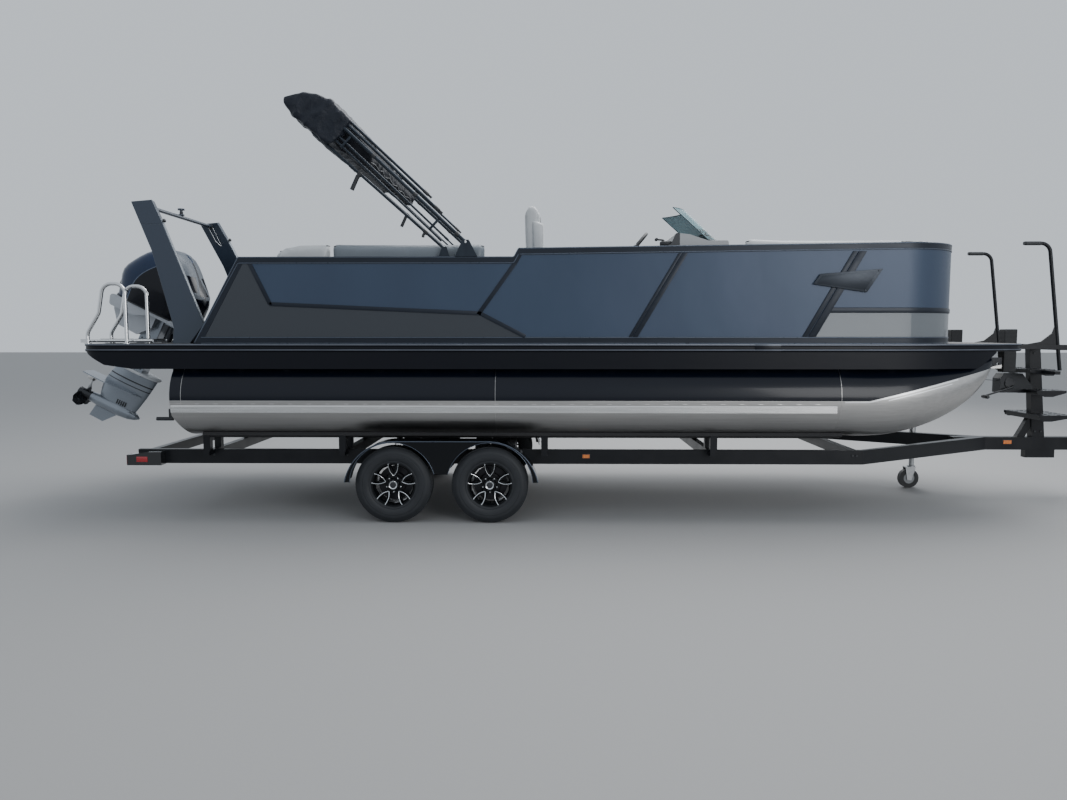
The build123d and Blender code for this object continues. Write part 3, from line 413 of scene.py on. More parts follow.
# Strakes. Bent aluminium angles along both sides of each tube, stitched to it with short weld
# beads along their upper edge. They are brighter than the tube.
strake_finish = Finish("strake_metal", (0.72, 0.72, 0.71), 0.25, Metallic=1.0)
strake_finish.worn(120, 0.15, 0.18, (0.62, 0.62, 0.61), (0.84, 0.84, 0.83), stretch=(0.02, 1, 1))
wear("lifting_strakes", strake_finish)
bead = bmesh.new()
bmesh.ops.create_uvsphere(bead, u_segments=6, v_segments=4, radius=1)
bmesh.ops.scale(bead, vec=(0.026, 0.0025, 0.0035), verts=bead.verts)
stitches = [shift(-3.62 + n * 0.16, y + s * 0.3405, 1.036)
            for n in range(35) for y in TUBE_YS for s in (-1, 1)]
piece("strake_welds", copies(bead, stitches), weld_finish)

# Deck. Plywood covered with grey woven vinyl inside the fence, and with dark grooved foam pads
# on the swim platform behind it. It lies on aluminium cross members, seen from below.
deck_finish = Finish("deck_floor", (0.2, 0.2, 0.2), 0.8)
along, across, _ = deck_finish.axes()
weave = ((along * 900).wave() * (across * 900).wave()) * 0.5 + 0.5
fleck = deck_finish.noise(260)
inside = deck_finish.mix(weave * 0.5 + fleck * 0.5, (0.10, 0.10, 0.105), (0.27, 0.27, 0.275))
groove = ((across + 3.0) % 0.055) < 0.005
pad = deck_finish.mix(groove, (0.045, 0.048, 0.055), (0.015, 0.015, 0.017))
aft = along < -3.1
deck_finish.colour(deck_finish.mix(aft, inside, pad))
deck_finish.bump((1.0 - aft) * weave * 0.4 + aft * (1.0 - groove), 0.0015)
wear("deck", deck_finish)
member_finish = Finish("mill_aluminium", (0.5, 0.5, 0.5), 0.4, Metallic=1.0)
member_finish.worn(60, 0.2, 0.3, (0.42, 0.43, 0.44), (0.66, 0.67, 0.68), stretch=(1, 0.03, 1))
wear("cross_members", member_finish)

# Deck edge. An extruded rub rail with an upper and a lower lip runs round the deck, black with
# painted highlights along both lips, and a folded skirt hangs below it along each side.
edge_finish = Finish("edge_extrusion", (0.003, 0.004, 0.008), 0.4, Specular_IOR_Level=0.22)
height = edge_finish.axes()[2]
# Painted highlights: the two lip bands are coloured lighter than the black rail. A noise dims them
# in patches, and the same noise also varies the roughness.
lips = (abs(height - 1.541) < 0.005).high(abs(height - 1.497) < 0.0045)
sheen_and_scuff = edge_finish.noise(24, (0.15, 1, 1))
edge_finish.colour(
    edge_finish.mix(lips * (sheen_and_scuff * 0.5 + 0.5), (0.003, 0.004, 0.008), (0.19, 0.21, 0.25)))
edge_finish.metal(lips * 0.6)
edge_finish.rough(sheen_and_scuff * 0.15 + 0.30)


def arc(centre, radius, start, end, steps=8):
    """Points on an arc between two angles in degrees."""
    angles = [radians(start + (end - start) * n / steps) for n in range(steps + 1)]
    return [(centre[0] + radius * cos(a), centre[1] + radius * sin(a)) for a in angles]


def through(a, b, c, steps=4):
    """Points on the arc through three points."""
    trios = (a, b, c), (b, c, a), (c, a, b)
    d = 2 * sum(p[0] * (q[1] - r[1]) for p, q, r in trios)
    x = sum((p[0] ** 2 + p[1] ** 2) * (q[1] - r[1]) for p, q, r in trios) / d
    y = sum((p[0] ** 2 + p[1] ** 2) * (r[0] - q[0]) for p, q, r in trios) / d
    centre = Vector((x, y))
    ends = [degrees(atan2(p[1] - centre.y, p[0] - centre.x)) for p in (a, c)]
    return arc(centre, (Vector(a) - centre).length, *ends, steps)


def deck_half(inset):
    """The port half of the deck's outline, stern to bow, moved in by inset."""
    aft, front, side, corner = -4.487 + inset, 3.783 - inset, 1.295 - inset, 0.200 - inset
    bend = 2.313        # X where the straight side starts to curve in
    end = (3.593 - 0.7 * inset, 0.980 - 0.9 * inset)
    radius = ((end[0] - bend) ** 2 + (side - end[1]) ** 2) / (2 * (side - end[1]))
    sweep = degrees(atan2(end[0] - bend, radius - side + end[1]))
    stern = arc((aft + corner, side - corner), corner, 180, 90)
    bow = arc((bend, side - radius), radius, 90, 90 - sweep, 24)
    nose = through(end, (front - 0.045, 0.895 - 0.9 * inset), (front, 0.765 - 0.5 * inset))
    return stern + [(x, side) for x in (-4.25, -4.014, 0.0)] + bow + nose[1:]


def mirrored(half):
    """A closed outline from its port half."""
    return half + [(x, -y) for x, y in reversed(half)]


def skin(rows):
    """A surface through rows of points, of which each row is a ring."""
    part = bmesh.new()
    verts = [part.verts.new(p) for p in rows[0]]
    edges = [part.edges.new(pair) for pair in zip(verts, verts[1:] + verts[:1])]
    for row in rows[1:]:
        grown = set(bmesh.ops.extrude_edge_only(part, edges=edges)["geom"])
        verts = [next(e.other_vert(v) for e in v.link_edges if e.other_vert(v) in grown)
                 for v in verts]
        for vert, place in zip(verts, row):
            vert.co = place
        edges = [part.edges.get(pair) for pair in zip(verts, verts[1:] + verts[:1])]
    return part


RAIL_PROFILE = [    # inset, height
    (0.0218, 1.479), (0.010, 1.479), (0.003, 1.483), (0.0, 1.488), (0.0, 1.501), (0.006, 1.505),
    (0.007, 1.527), (0.0, 1.532), (0.0, 1.543), (0.004, 1.547), (0.0218, 1.547), (0.0218, 1.479),
]
MOTOR_GAP = 0.33        # half the width of the gap that the rail leaves round the motor
rub = merged(skin([[(x, y, z) for x, y in mirrored(deck_half(i))] for i, z in RAIL_PROFILE]))
for side in (1, -1):
    bmesh.ops.bisect_plane(rub, geom=rub.verts[:] + rub.edges[:] + rub.faces[:], dist=1e-6,
                           plane_co=(0, side * MOTOR_GAP, 0), plane_no=(0, side, 0))
middles = {f: f.calc_center_median() for f in rub.faces}
gone = [f for f, m in middles.items() if m.x < -3.9 and abs(m.y) < MOTOR_GAP]
bmesh.ops.delete(rub, geom=gone, context="FACES")
cut = [e for e in rub.edges
       if e.is_boundary and all(abs(abs(v.co.y) - MOTOR_GAP) < 1e-4 for v in e.verts)]
bmesh.ops.holes_fill(rub, edges=cut, sides=0)
rub_rail = piece("deck_rub_rail", rub, edge_finish, smooth=40)
SKIRT_AFT, SKIRT_FRONT, SKIRT_TOP = -4.44, 3.45, 1.479
skirts = []
for side in (1, -1):
    out, inn = ([(x, side * y) for x, y in deck_half(i) if SKIRT_AFT <= x <= SKIRT_FRONT]
                for i in (0.008, 0.013))
    low = [max(1.335, SKIRT_TOP - (x - SKIRT_AFT) * 0.582, 1.369 - (x + 4.251) * 0.1435,
               SKIRT_TOP - (SKIRT_FRONT - x) * 0.72) for x, y in out]
    skirts.append(closed(skin([[(*a, SKIRT_TOP), (*b, SKIRT_TOP), (*b, z), (*a, z)]
                               for a, b, z in zip(out, inn, low)])))
piece("deck_side_skirts", join(*skirts), edge_finish, smooth=30)
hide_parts("deck_edge_trim")
joiner = bar((1.28, 1.50), (-1.2952, -1.286), (1.4795, 1.5465), 0.003)
piece("rub_rail_joint_covers", twins(joiner), edge_finish)

# Fence. Black extruded rails and posts, painted sheet panels between them, slate blue above and
# charcoal or ribbed grey below, with slanted two-ridge trims laid over the joints.
RAIL_TONES = (0.008, 0.012, 0.020), (0.016, 0.022, 0.034)
rail_finish = Finish("fence_extrusion", (0.010, 0.014, 0.022), 0.38, Metallic=0.25,
                     Specular_IOR_Level=0.4)
rail_finish.worn(40, 0.18, 0.28, *RAIL_TONES, stretch=(0.1, 1, 1))
slate_finish = Finish("panel_slate_paint", (0.04, 0.07, 0.13), 0.4, Metallic=0.25,
                      Coat_Weight=0.2, Coat_Roughness=0.35)
sag = slate_finish.noise(1.6, (1, 1, 0.6))
flake = slate_finish.noise(700)
slate_finish.colour(
    slate_finish.mix(flake * 0.4 + sag * 0.6, (0.022, 0.040, 0.076), (0.044, 0.070, 0.120)))
slate_finish.rough(flake * 0.1 + 0.38)
slate_finish.bump(sag * 0.9 + flake * 0.01, 0.012)
lower_finish = Finish("panel_lower_paint", (0.04, 0.05, 0.06), 0.35, Metallic=0.3, Coat_Weight=0.4)
along, _, height = lower_finish.axes()
flake = lower_finish.noise(700)
grey = along > 1.0
rib = abs((height * 420).wave()) * grey
shade = lower_finish.mix(flake, (0.022, 0.027, 0.036), (0.040, 0.047, 0.058))
ribbed = lower_finish.mix(rib * 0.7 + flake * 0.3, (0.10, 0.115, 0.13), (0.19, 0.21, 0.225))
lower_finish.colour(lower_finish.mix(grey, shade, ribbed))
lower_finish.bump(rib, 0.0012)
for node in ("fence_frame_left", "fence_frame_right"):
    wear(node, rail_finish)
wear("panels_upper", slate_finish)
wear("panels_lower", lower_finish)

FENCE_HALF, FENCE_FRONT, FENCE_CORNER, AFT_TOP = 1.235, 3.158, 0.630, 2.285


def fence_run(start, end_y, inset, lift):
    """Points along the starboard side from an X to a Y on the bow face, lift(x) giving Z."""
    half, r = FENCE_HALF - inset, FENCE_CORNER - inset
    corner = arc((FENCE_FRONT - FENCE_CORNER, -half + r), r, -90, 0, 14)
    flat = [(start, -half)] + corner + [(FENCE_FRONT - inset, end_y)]
    return [(x, y, lift(x)) for x, y in flat]


def fence_top(x):
    """Height of the fence's top edge."""
    return AFT_TOP if x < -0.709 else 2.357 + (x + 0.709) / 3.867 * 0.051


# Lips along the rails. Each rail is an aluminium extrusion with a rounded bead at its upper and
# lower edge. The beads are coloured lighter than the rail as a painted highlight. The port rails
# stop at the side gate.
LIP, LIP_R, RAIL_END = 0.0015, 0.0045, -0.335
lips = []
for drop in (0.006, 0.054):
    lips.append(pipe(fence_run(-0.70, RAIL_END, LIP, lambda x: fence_top(x) - drop), LIP_R))
    slope = [(-3.487, 1.56), (-3.095, AFT_TOP - drop), (-0.751, AFT_TOP - drop),
             (-0.712, 2.357 - drop)]
    lips.append(pipe([(x, LIP - FENCE_HALF, z) for x, z in slope], LIP_R, 0.03))
for lift in (1.552, 1.602):
    lips.append(pipe(fence_run(-3.43, RAIL_END, LIP, lambda x: lift), LIP_R))
beads = join(*lips)
port = mirror(beads)
GATE_AFT, GATE_FRONT = 0.15, 0.82
for x in (GATE_AFT, GATE_FRONT):
    bmesh.ops.bisect_plane(port, geom=port.verts[:] + port.edges[:] + port.faces[:],
                           plane_co=(x, 0, 0), plane_no=(1, 0, 0))
gone = [f for f in port.faces if GATE_AFT < f.calc_center_median().x < GATE_FRONT]
bmesh.ops.delete(port, geom=gone, context="FACES")
bmesh.ops.holes_fill(port, edges=[e for e in port.edges if e.is_boundary], sides=0)
# This bead colour is lighter than the black rails. On the rail beads and the fender edges it is a
# painted highlight; the gate latches wear it as well.
bead_finish = Finish("fence_bead", (0.09, 0.11, 0.145), 0.3, Metallic=0.6).worn(50, 0.2, 0.2)
piece("fence_rail_beads", join(beads, port), bead_finish, smooth=60)

# Slanted trims. Black extruded strips laid over the joints of the panels. The broad ones have two
# ridges side by side, and the ends of the steep ones are cut level with the rails.
PANEL_FACE = 1.2313
TRIMS = [   # start, end, total width
    ((-2.995, 2.224), (-2.827, 1.879), 0.034), ((-2.835, 1.886), (-1.030, 1.806), 0.034),
    ((-1.052, 1.800), (-0.745, 2.224), 0.034), ((-1.048, 1.812), (-0.655, 1.608), 0.034),
    ((0.262, 1.608), (0.675, 2.310), 0.066), ((1.748, 1.608), (2.154, 2.325), 0.100),
]
for side, tag in ((-1, "right"), (1, "left")):
    ridges = []
    for a, b, wide in TRIMS:
        if side == 1 and 0 < a[0] < 1:      # the side gate is there
            continue
        d = Vector((b[0] - a[0], b[1] - a[1])).normalized()
        n = Vector((-d.y, d.x))
        narrow, broad = [(-0.5, 0.5, 0.0035)], [(-0.5, 0.08, 0.006), (0.14, 0.5, 0.003)]
        for low, high, proud in narrow if wide < 0.05 else broad:
            corners = []
            for end, offset in ((a, low), (b, low), (b, high), (a, high)):
                p = Vector(end) + n * wide * offset
                if abs(d.y) > 0.5:      # ends cut level
                    p += d * (end[1] - p.y) / d.y
                corners.append((p.x, p.y))
            outer = side * PANEL_FACE
            ridges.append(prism("XZ", corners, outer, outer + side * (0.0035 + proud), 0.0015))
    trims = join(*ridges)
    bmesh.ops.recalc_face_normals(trims, faces=trims.faces)
    piece(f"slanted_trims_{tag}", trims, rail_finish, smooth=25)

# Bow trim. A rounded moulding at the height of a knee runs from the last slanted trim, round the
# corner, to the bow gate. It stands for the CAD trims together with the slanted ones.
MOULDING = [(0.0035, -0.023), (-0.002, -0.020), (-0.004, -0.012), (-0.004, 0.012),
            (-0.002, 0.020), (0.0035, 0.023)]
half_run = [fence_run(1.905, RAIL_END, inset, lambda x: 1.832 + dz) for inset, dz in MOULDING]
moulding = closed(skin(list(zip(*half_run))))
bow_trim = piece("bow_knee_moulding", twins(moulding), rail_finish, smooth=30)
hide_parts("fence_trims")

# Blank plate. A black pressed plate with a raised middle on the last slanted trim, on both
# sides, held by three screws at its front end.
PLATE = [(1.766, 2.050), (1.825, 2.135), (2.346, 2.178), (2.218, 1.981)]
RAISED = [(1.795, 2.057), (1.838, 2.119), (2.300, 2.157), (2.200, 2.003)]
plate_finish = Finish("badge_plate", (0.03, 0.036, 0.046), 0.32, Metallic=0.6).worn(60, 0.2, 0.25)
plate = prism("XZ", PLATE, -1.252, -1.2445, 0.0025, 3)
inner = prism("XZ", RAISED, -1.2545, -1.2515, 0.001)
screws = studs([(x, -1.2515, z) for x, z in ((2.31, 2.162), (2.205, 1.997), (2.255, 2.08))],
               (0, -0.005, 0), 0.008, 0.002, 12)
piece("blank_plates", twins(join(plate, inner, *screws)), plate_finish, smooth=25)

# Gates. Each is a black extruded frame with a sheet set in, slate outside and paler inside. It
# hangs on two hinge knuckles and shuts with a pull latch.
gate_sheet = Finish("gate_sheet", (0.07, 0.09, 0.13), 0.35, Metallic=0.4)
gate_sheet.colour(
    gate_sheet.mix(gate_sheet.noise(500), (0.05, 0.065, 0.095), (0.09, 0.115, 0.16)))
gate_finish = Finish("gate_frame_and_sheet", (0.012, 0.017, 0.027), 0.4, Metallic=0.25,
                     Specular_IOR_Level=0.4)
x, y, z = gate_finish.axes()
side_sheet = (x > 0.202) * (x < 0.768) * (y > 1.0) * (z < 2.308)
bow_sheet = (x > 3.0) * (abs(y) < 0.278) * (z < 2.328)
stern_sheet = (x < -3.0) * (y > 0.408) * (y < 0.952) * (z < 2.153)
sheet = side_sheet.high(bow_sheet).high(stern_sheet) * (z > 1.622)
flake = gate_finish.noise(700)
slate = gate_finish.mix(flake, (0.026, 0.046, 0.086), (0.042, 0.066, 0.114))
gate_finish.colour(gate_finish.mix(sheet, gate_finish.mix(flake, *RAIL_TONES), slate))
gate_finish.rough(flake * 0.12 + 0.34)
gate_finish.bump(sheet * -1.0, 0.003)
for node in ("bow_gate", "side_gate", "stern_gate"):
    wear(node, gate_finish)
GATES = [   # node, sheet's x, y, z, latch's place and half size, where its handle stands off it
    ("bow_gate", (3.1355, 3.1385), (-0.278, 0.278), (1.622, 2.328),
     (3.118, -0.290, 2.20), (0.008, 0.022, 0.10), (-0.010, 0, 0.02)),
    ("side_gate", (0.202, 0.768), (1.2120, 1.2155), (1.622, 2.308),
     (0.180, 1.191, 2.20), (0.022, 0.008, 0.10), (0, -0.010, 0.02)),
    ("stern_gate", (-3.0905, -3.0865), (0.408, 0.952), (1.622, 2.153),
     (-3.064, 0.385, 2.08), (0.008, 0.022, 0.10), (0.012, 0, 0.02)),
]
for node, x, y, z, at, size, off in GATES:
    piece(node + "_sheet", bar(x, y, z, 0.0008), gate_sheet, body=node)
    catch = bar(*((a - s, a + s) for a, s in zip(at, size)), 0.004)
    middle, half = Vector(at) + Vector(off), Vector((0, 0, 0.035))
    handle = disc(middle - half, middle + half, 0.007, 0.003, 16)
    piece(node + "_latch", join(catch, handle), bead_finish, body=node)


# Seats. Moulded grey bases with a kick recess and door seams carry sewn vinyl cushions: seats
# with a light top, backrests light at the stern and the bow and dark along the sides.
base_finish = Finish("moulded_base", (0.20, 0.21, 0.22), 0.55)
base_finish.colour(base_finish.mix(base_finish.noise(300), (0.17, 0.18, 0.19), (0.25, 0.26, 0.27)))
base_finish.bump(base_finish.noise(900), 0.0004)
wear("lounge_bases", base_finish)


STITCH = 0.42       # distance between stitched lines along the boat


def vinyl(name, dark, light):
    """Grained marine vinyl, with stitched lines across the boat."""
    made = Finish(name, light, 0.45, Coat_Weight=0.1, Sheen_Weight=0.1)
    pores = made.node("ShaderNodeTexVoronoi", {}, {"Vector": made.place, "Scale": 420.0})
    age = made.noise(5)
    made.colour(made.mix(pores * 0.5 + age * 0.5, dark, light))
    made.rough(age * 0.15 + 0.38)
    x, y, z = made.axes()
    line = abs((x + 4.0) % STITCH - STITCH / 2) < 0.0016
    thread = line * (((y + z) * 700).wave() > 0.0)
    made.bump(pores * 0.25 - line * 0.8 + thread * 0.6, 0.0014)
    return made


pale_vinyl = vinyl("vinyl_pale", (0.40, 0.42, 0.44), (0.58, 0.60, 0.61))
dark_vinyl = vinyl("vinyl_dark", (0.10, 0.12, 0.14), (0.19, 0.22, 0.25))
piping_finish = Finish("piping", (0.06, 0.065, 0.07), 0.4).worn(200, 0.2, 0.3)


def shown(thing):
    """An object's mesh with its modifiers, as it stands at this frame."""
    tree = bpy.context.evaluated_depsgraph_get()
    return bpy.data.meshes.new_from_object(thing.evaluated_get(tree))


def swell(forms, frames=20, pressure=4.0, cap=0.016, voxel=0.027, slack=0.0, rests=True):
    """Cloth under pressure pads each form. What it rests on stays flat, and no point moves past
    the cap. forms is a list of objects that still have their plain mesh; slack is spare cloth."""
    starts = []
    for thing in forms:
        remesh = thing.modifiers.new("remesh", "REMESH")
        remesh.mode, remesh.voxel_size = "VOXEL", voxel
        solid = shown(thing)
        thing.modifiers.clear()
        solid.materials.clear()
        for material in thing.data.materials:
            solid.materials.append(material)
        thing.data = solid
        starts.append([v.co.copy() for v in solid.vertices])
        cloth = thing.modifiers.new("cloth", "CLOTH")
        cloth.settings.quality, cloth.settings.mass = 4, 0.3
        cloth.settings.use_pressure, cloth.settings.uniform_pressure_force = True, pressure
        cloth.settings.effector_weights.gravity = 0
        cloth.settings.shrink_min = -slack
        cloth.point_cache.frame_start, cloth.point_cache.frame_end = 1, frames
    for frame_number in range(1, frames + 1):
        bpy.context.scene.frame_set(frame_number)
    for thing, start in zip(forms, starts):
        puffed = shown(thing)
        base = min(p.z for p in start) if rests else -9.0
        for vert, soft, p in zip(thing.data.vertices, puffed.vertices, start):
            way = soft.co - p
            if way.length > cap:
                way *= cap / way.length
            vert.co = p + way * (1.0 if p.z > base + 0.02 else 0.25)
            vert.co.z = max(vert.co.z, base)
        thing.modifiers.clear()
        thing.data.shade_smooth()
        smooth = thing.modifiers.new("smooth", "SUBSURF")
        smooth.levels = smooth.render_levels = 1
    bpy.context.scene.frame_set(1)


def snapped(points, thing, stand):
    """The points laid on a cushion's skin, standing out from it a little."""
    tree = bpy.context.evaluated_depsgraph_get()
    tree.update()
    made = bmesh.new()
    made.from_object(thing, tree)
    from_points = BVHTree.FromBMesh(made)
    laid = []
    for p in points:
        place, normal, _, _ = from_points.find_nearest(Vector(p))
        laid.append(place + normal * stand)
    made.free()
    return laid


def pad_form(name, outline, low, high, finish, edge=0.030):
    """A cushion's plain form from its outline in plan."""
    if name == "corner_back":       # its top falls toward the stern
        return piece(name, prism("XZ", CORNER_SIDE, -1.137, -1.038, edge, 3), finish)
    return piece(name, prism("XY", outline, low, high, edge, 3), finish)


def rectangle(x, y, inset=0.008):
    """The corners of a rectangle between two X and two Y values, moved in by inset."""
    (aft, front), (low, high) = ((a + inset, b - inset) for a, b in (x, y))
    return [(aft, low), (front, low), (front, high), (aft, high)]


def fence_strip(start, end_y, near, far):
    """A strip's outline in plan that follows the fence round the starboard bow corner."""
    outer = fence_run(start, end_y, near, lambda x: 0)
    inner = fence_run(start, end_y, far, lambda x: 0)
    return [p[:2] for p in outer] + [p[:2] for p in reversed(inner)]


SEAT_LOW, SEAT_HIGH, BACK_HIGH, BOW_HIGH = 1.882, 1.992, 2.413, 2.436
CORNER_SIDE = [(-2.822, SEAT_LOW), (-2.332, SEAT_LOW), (-2.332, BACK_HIGH),
               (-2.60, BACK_HIGH - 0.004), (-2.74, BACK_HIGH - 0.030), (-2.822, BACK_HIGH - 0.085)]
PADS = [    # name, outline in plan, low, high, finish
    ("stern_bench_seat", rectangle((-2.925, -2.484), (-1.020, 0.276)),
     SEAT_LOW, SEAT_HIGH, pale_vinyl),
    ("starboard_bench_seat", rectangle((-2.476, -0.984), (-1.020, -0.550)),
     SEAT_LOW, SEAT_HIGH, pale_vinyl),
    ("port_bench_seat", rectangle((-2.396, 0.056), (0.550, 1.020)),
     SEAT_LOW, SEAT_HIGH, pale_vinyl),
    ("stern_bench_back", rectangle((-3.058, -2.935), (-1.020, 0.276)), SEAT_LOW, 2.262, pale_vinyl),
    ("corner_back", rectangle((-2.830, -2.324), (-1.145, -1.030)), SEAT_LOW, BACK_HIGH, pale_vinyl),
    ("starboard_back", rectangle((-2.336, -0.984), (-1.145, -1.030)),
     SEAT_LOW, BACK_HIGH, dark_vinyl),
    ("port_back", rectangle((-2.396, 0.056), (1.030, 1.145)), SEAT_LOW, BACK_HIGH, dark_vinyl),
    ("bow_right_back", fence_strip(1.208, -0.433, 0.054, 0.158), SEAT_LOW, BOW_HIGH, pale_vinyl),
    ("bow_left_back", [(x, -y) for x, y in fence_strip(1.108, -0.433, 0.054, 0.158)][::-1],
     SEAT_LOW, BOW_HIGH, pale_vinyl),
    ("bow_right_seat", fence_run(1.102, -0.423, 0.184, lambda x: 0) + [(1.102, -0.423, 0)],
     SEAT_LOW, SEAT_HIGH, pale_vinyl),
    ("bow_left_seat", [(x, -y, 0) for x, y, _ in fence_run(0.972, -0.423, 0.184, lambda x: 0)][::-1]
     + [(0.972, 0.423, 0)], SEAT_LOW, SEAT_HIGH, pale_vinyl),
]
pads = {name: pad_form(name, [p[:2] for p in outline], low, high, finish)
        for name, outline, low, high, finish in PADS}
swell(list(pads.values()))
for name, outline, _, high, _ in PADS:
    route = rounded([(*p[:2], high - 0.012) for p in outline + outline[:2]], 0.03, 3)[1:-1]
    long_route = []
    for a, b in zip(route, route[1:]):
        steps = max(1, ceil((b - a).length / 0.06))
        long_route += [a.lerp(b, n / steps) for n in range(steps)]
    welt = pipe(snapped(long_route + [route[-1]], pads[name], 0.001), 0.0045, sides=2)
    piece(name + "_welt", welt, piping_finish, smooth=60)
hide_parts("aft_cushions")
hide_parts("bow_cushions")
DOORS = [   # X of the seam, X of the latch, Y of the base's face
    (1.7, 1.45, -0.418), (2.4, 2.05, -0.418), (1.7, 1.45, 0.418), (2.4, 2.05, 0.418),
    (-1.7, -1.45, -0.558), (-1.2, -0.9, 0.558), (-1.9, -1.6, 0.558),
]
doors = [bar((x, x + 0.002), (y - 0.003, y + 0.003), (1.60, 1.85)) for x, _, y in DOORS]
latches = [bar((x - 0.03, x + 0.03), (y - 0.006, y + 0.006), (1.80, 1.83), 0.003)
           for _, x, y in DOORS]
piece("seat_door_seams", join(*doors), piping_finish)
piece("seat_latches", join(*latches), rail_finish)

# Outboard. A glossy dark cowl whose forward- and upward-facing front is coloured silver-grey as a
# painted sky reflection, a grey pan, a silver leg with a pale fairing ring and a dark groove, a
# clamp bracket and a swivel bracket.
TILT, PIVOT = 26, Vector((-4.077, 0, 1.602))


def motor(part):
    """Places a part of the motor's own frame: pivot at 0, +X ahead, +Z up its leg."""
    return moved(part, shift(*PIVOT) @ turn(TILT))


def motor_axes(finish):
    """How far ahead, across and up the shaded point lies in the motor's own frame."""
    x, y, z = finish.axes()
    x, z, c, s = x - PIVOT.x, z - PIVOT.z, cos(radians(TILT)), sin(radians(TILT))
    return x * c - z * s, y, x * s + z * c


def hull_rings(rows, power, steps=10):
    """A closed skin through flat rings, squarer where power is high. A row is X middle, half
    length, half width, height and how far its front end rises."""
    rings = []
    for x, long, wide, z, tip in rows:
        ring = []
        for n in range(4 * steps):
            a = 2 * pi * n / (4 * steps)
            c, s = cos(a), sin(a)
            u = abs(c) ** (2 / power) * (1 if c >= 0 else -1)
            v = abs(s) ** (2 / power) * (1 if s >= 0 else -1)
            ring.append((x + long * u, wide * v, z + tip * u))
        rings.append(ring)
    return closed(skin(rings))


cowl_finish = Finish("cowl_gloss", (0.003, 0.005, 0.012), 0.16, Coat_Weight=0.08,
                     Coat_Roughness=0.05, Specular_IOR_Level=0.28)
ahead, y, up = motor_axes(cowl_finish)
# Painted sky reflection: the part of the cowl's front that faces forward and up is coloured
# silver-grey where the gloss black would mirror the sky, with darker gaps left in it.
face = (ahead + 0.01) * 0.674 + (up - 0.42) * 0.739
sky_reflection = (face > -0.050) * (up > 0.40) * (abs(y) > 0.020) * (abs(y) < 0.225)
middle = (0.60 - up) * 0.6
inset = (abs(y) < middle) * (up < 0.60) * (up > 0.43)
window = (abs(y) > middle + 0.045) * (abs(y) < 0.195) * (up < 0.575) * (up > 0.45)
sky_reflection = sky_reflection * (1.0 - inset.high(window))
rise = (up - 0.242).high(0.0)
past_cap = ahead + 0.5965 - rise * rise * 1.6
crease = abs(past_cap) < 0.005
flake = cowl_finish.noise(900)
# Painted sky reflection: the upper cap is coloured dark blue against the black body, with a flake
# noise in it.
cap_reflection_blue = cowl_finish.mix(flake, (0.008, 0.018, 0.048), (0.016, 0.034, 0.082))
body_colour = cowl_finish.mix(past_cap < 0.0, (0.002, 0.003, 0.008), cap_reflection_blue)
# Painted highlight: the thin crease line between the cap and the body is coloured lighter than the
# cowl around it.
body_colour = cowl_finish.mix(crease, body_colour, (0.10, 0.13, 0.19))
cowl_finish.colour(cowl_finish.mix(sky_reflection, body_colour, (0.13, 0.15, 0.175)))
cowl_finish.metal(sky_reflection * 0.2)
cowl_finish.rough(sky_reflection * 0.30 + flake * 0.06 + 0.14)
cowl_finish.bump(crease * -1.0 + sky_reflection * 0.6, 0.002)
COWL = [    # X middle, half length, half width, height, rise of its front end
    (-0.3765, 0.3905, 0.284, 0.112, 0), (-0.380, 0.397, 0.290, 0.170, 0),
    (-0.386, 0.404, 0.294, 0.240, 0), (-0.396, 0.412, 0.298, 0.310, 0),
    (-0.402, 0.408, 0.300, 0.365, 0), (-0.404, 0.388, 0.296, 0.420, 0),
    (-0.411, 0.345, 0.286, 0.480, 0), (-0.420, 0.292, 0.272, 0.545, 0),
    (-0.428, 0.240, 0.252, 0.605, 0.004), (-0.432, 0.190, 0.226, 0.655, 0.008),
    (-0.432, 0.138, 0.192, 0.695, 0.010), (-0.432, 0.082, 0.140, 0.722, 0.010),
    (-0.432, 0.030, 0.060, 0.736, 0.006),
]
piece("outboard_cowl", motor(hull_rings(COWL, 3.2)), cowl_finish, body="outboard", smooth=50,
      replaces=("motor_cowl",))
trim_finish = Finish("motor_trim", (0.02, 0.022, 0.026), 0.5).worn(300, 0.2, 0.4)
GASKET = [      # half length, half width, height
    (0.396, 0.2885, 0.103), (0.399, 0.2915, 0.1045), (0.399, 0.2915, 0.1155),
    (0.396, 0.2885, 0.117),
]
gasket = hull_rings([(-0.3765, *row, 0) for row in GASKET], 3.2)
intake = [bar((-0.80, -0.785), (y, y + 0.036), (0.20, 0.30), 0.004)
          for y in (-0.115, -0.069, -0.023, 0.023, 0.069)]
grip = bar((-0.812, -0.792), (-0.055, 0.055), (0.135, 0.165), 0.006)
piece("cowl_seal_and_vents", motor(join(gasket, grip, *intake)), trim_finish, body="outboard")

pan_finish = Finish("motor_pan_grey", (0.40, 0.43, 0.46), 0.32, Coat_Weight=0.4, Metallic=0.2)
flake = pan_finish.noise(800)
pan_finish.colour(pan_finish.mix(flake, (0.33, 0.36, 0.40), (0.50, 0.52, 0.55)))
silver = Finish("motor_silver", (0.42, 0.45, 0.48), 0.3, Metallic=0.55, Coat_Weight=0.5)
up = motor_axes(silver)[2]
groove = (abs(up + 0.655) < 0.006).high(abs(up + 0.705) < 0.004)
flake = silver.noise(900)
bright = silver.mix(flake, (0.20, 0.23, 0.27), (0.31, 0.34, 0.38))
silver.colour(silver.mix(groove, bright, (0.015, 0.016, 0.02)))
silver.bump(groove * -1.0, 0.004)
silver.rough(flake * 0.1 + 0.24)
wear("motor_pan", pan_finish)
wear("motor_leg", silver)
bracket_finish = Finish("bracket_grey", (0.05, 0.055, 0.065), 0.42, Metallic=0.5)
bracket_finish.worn(120, 0.2, 0.32)
wear("clamp_bracket", bracket_finish)
wear("swivel_bracket", bracket_finish)

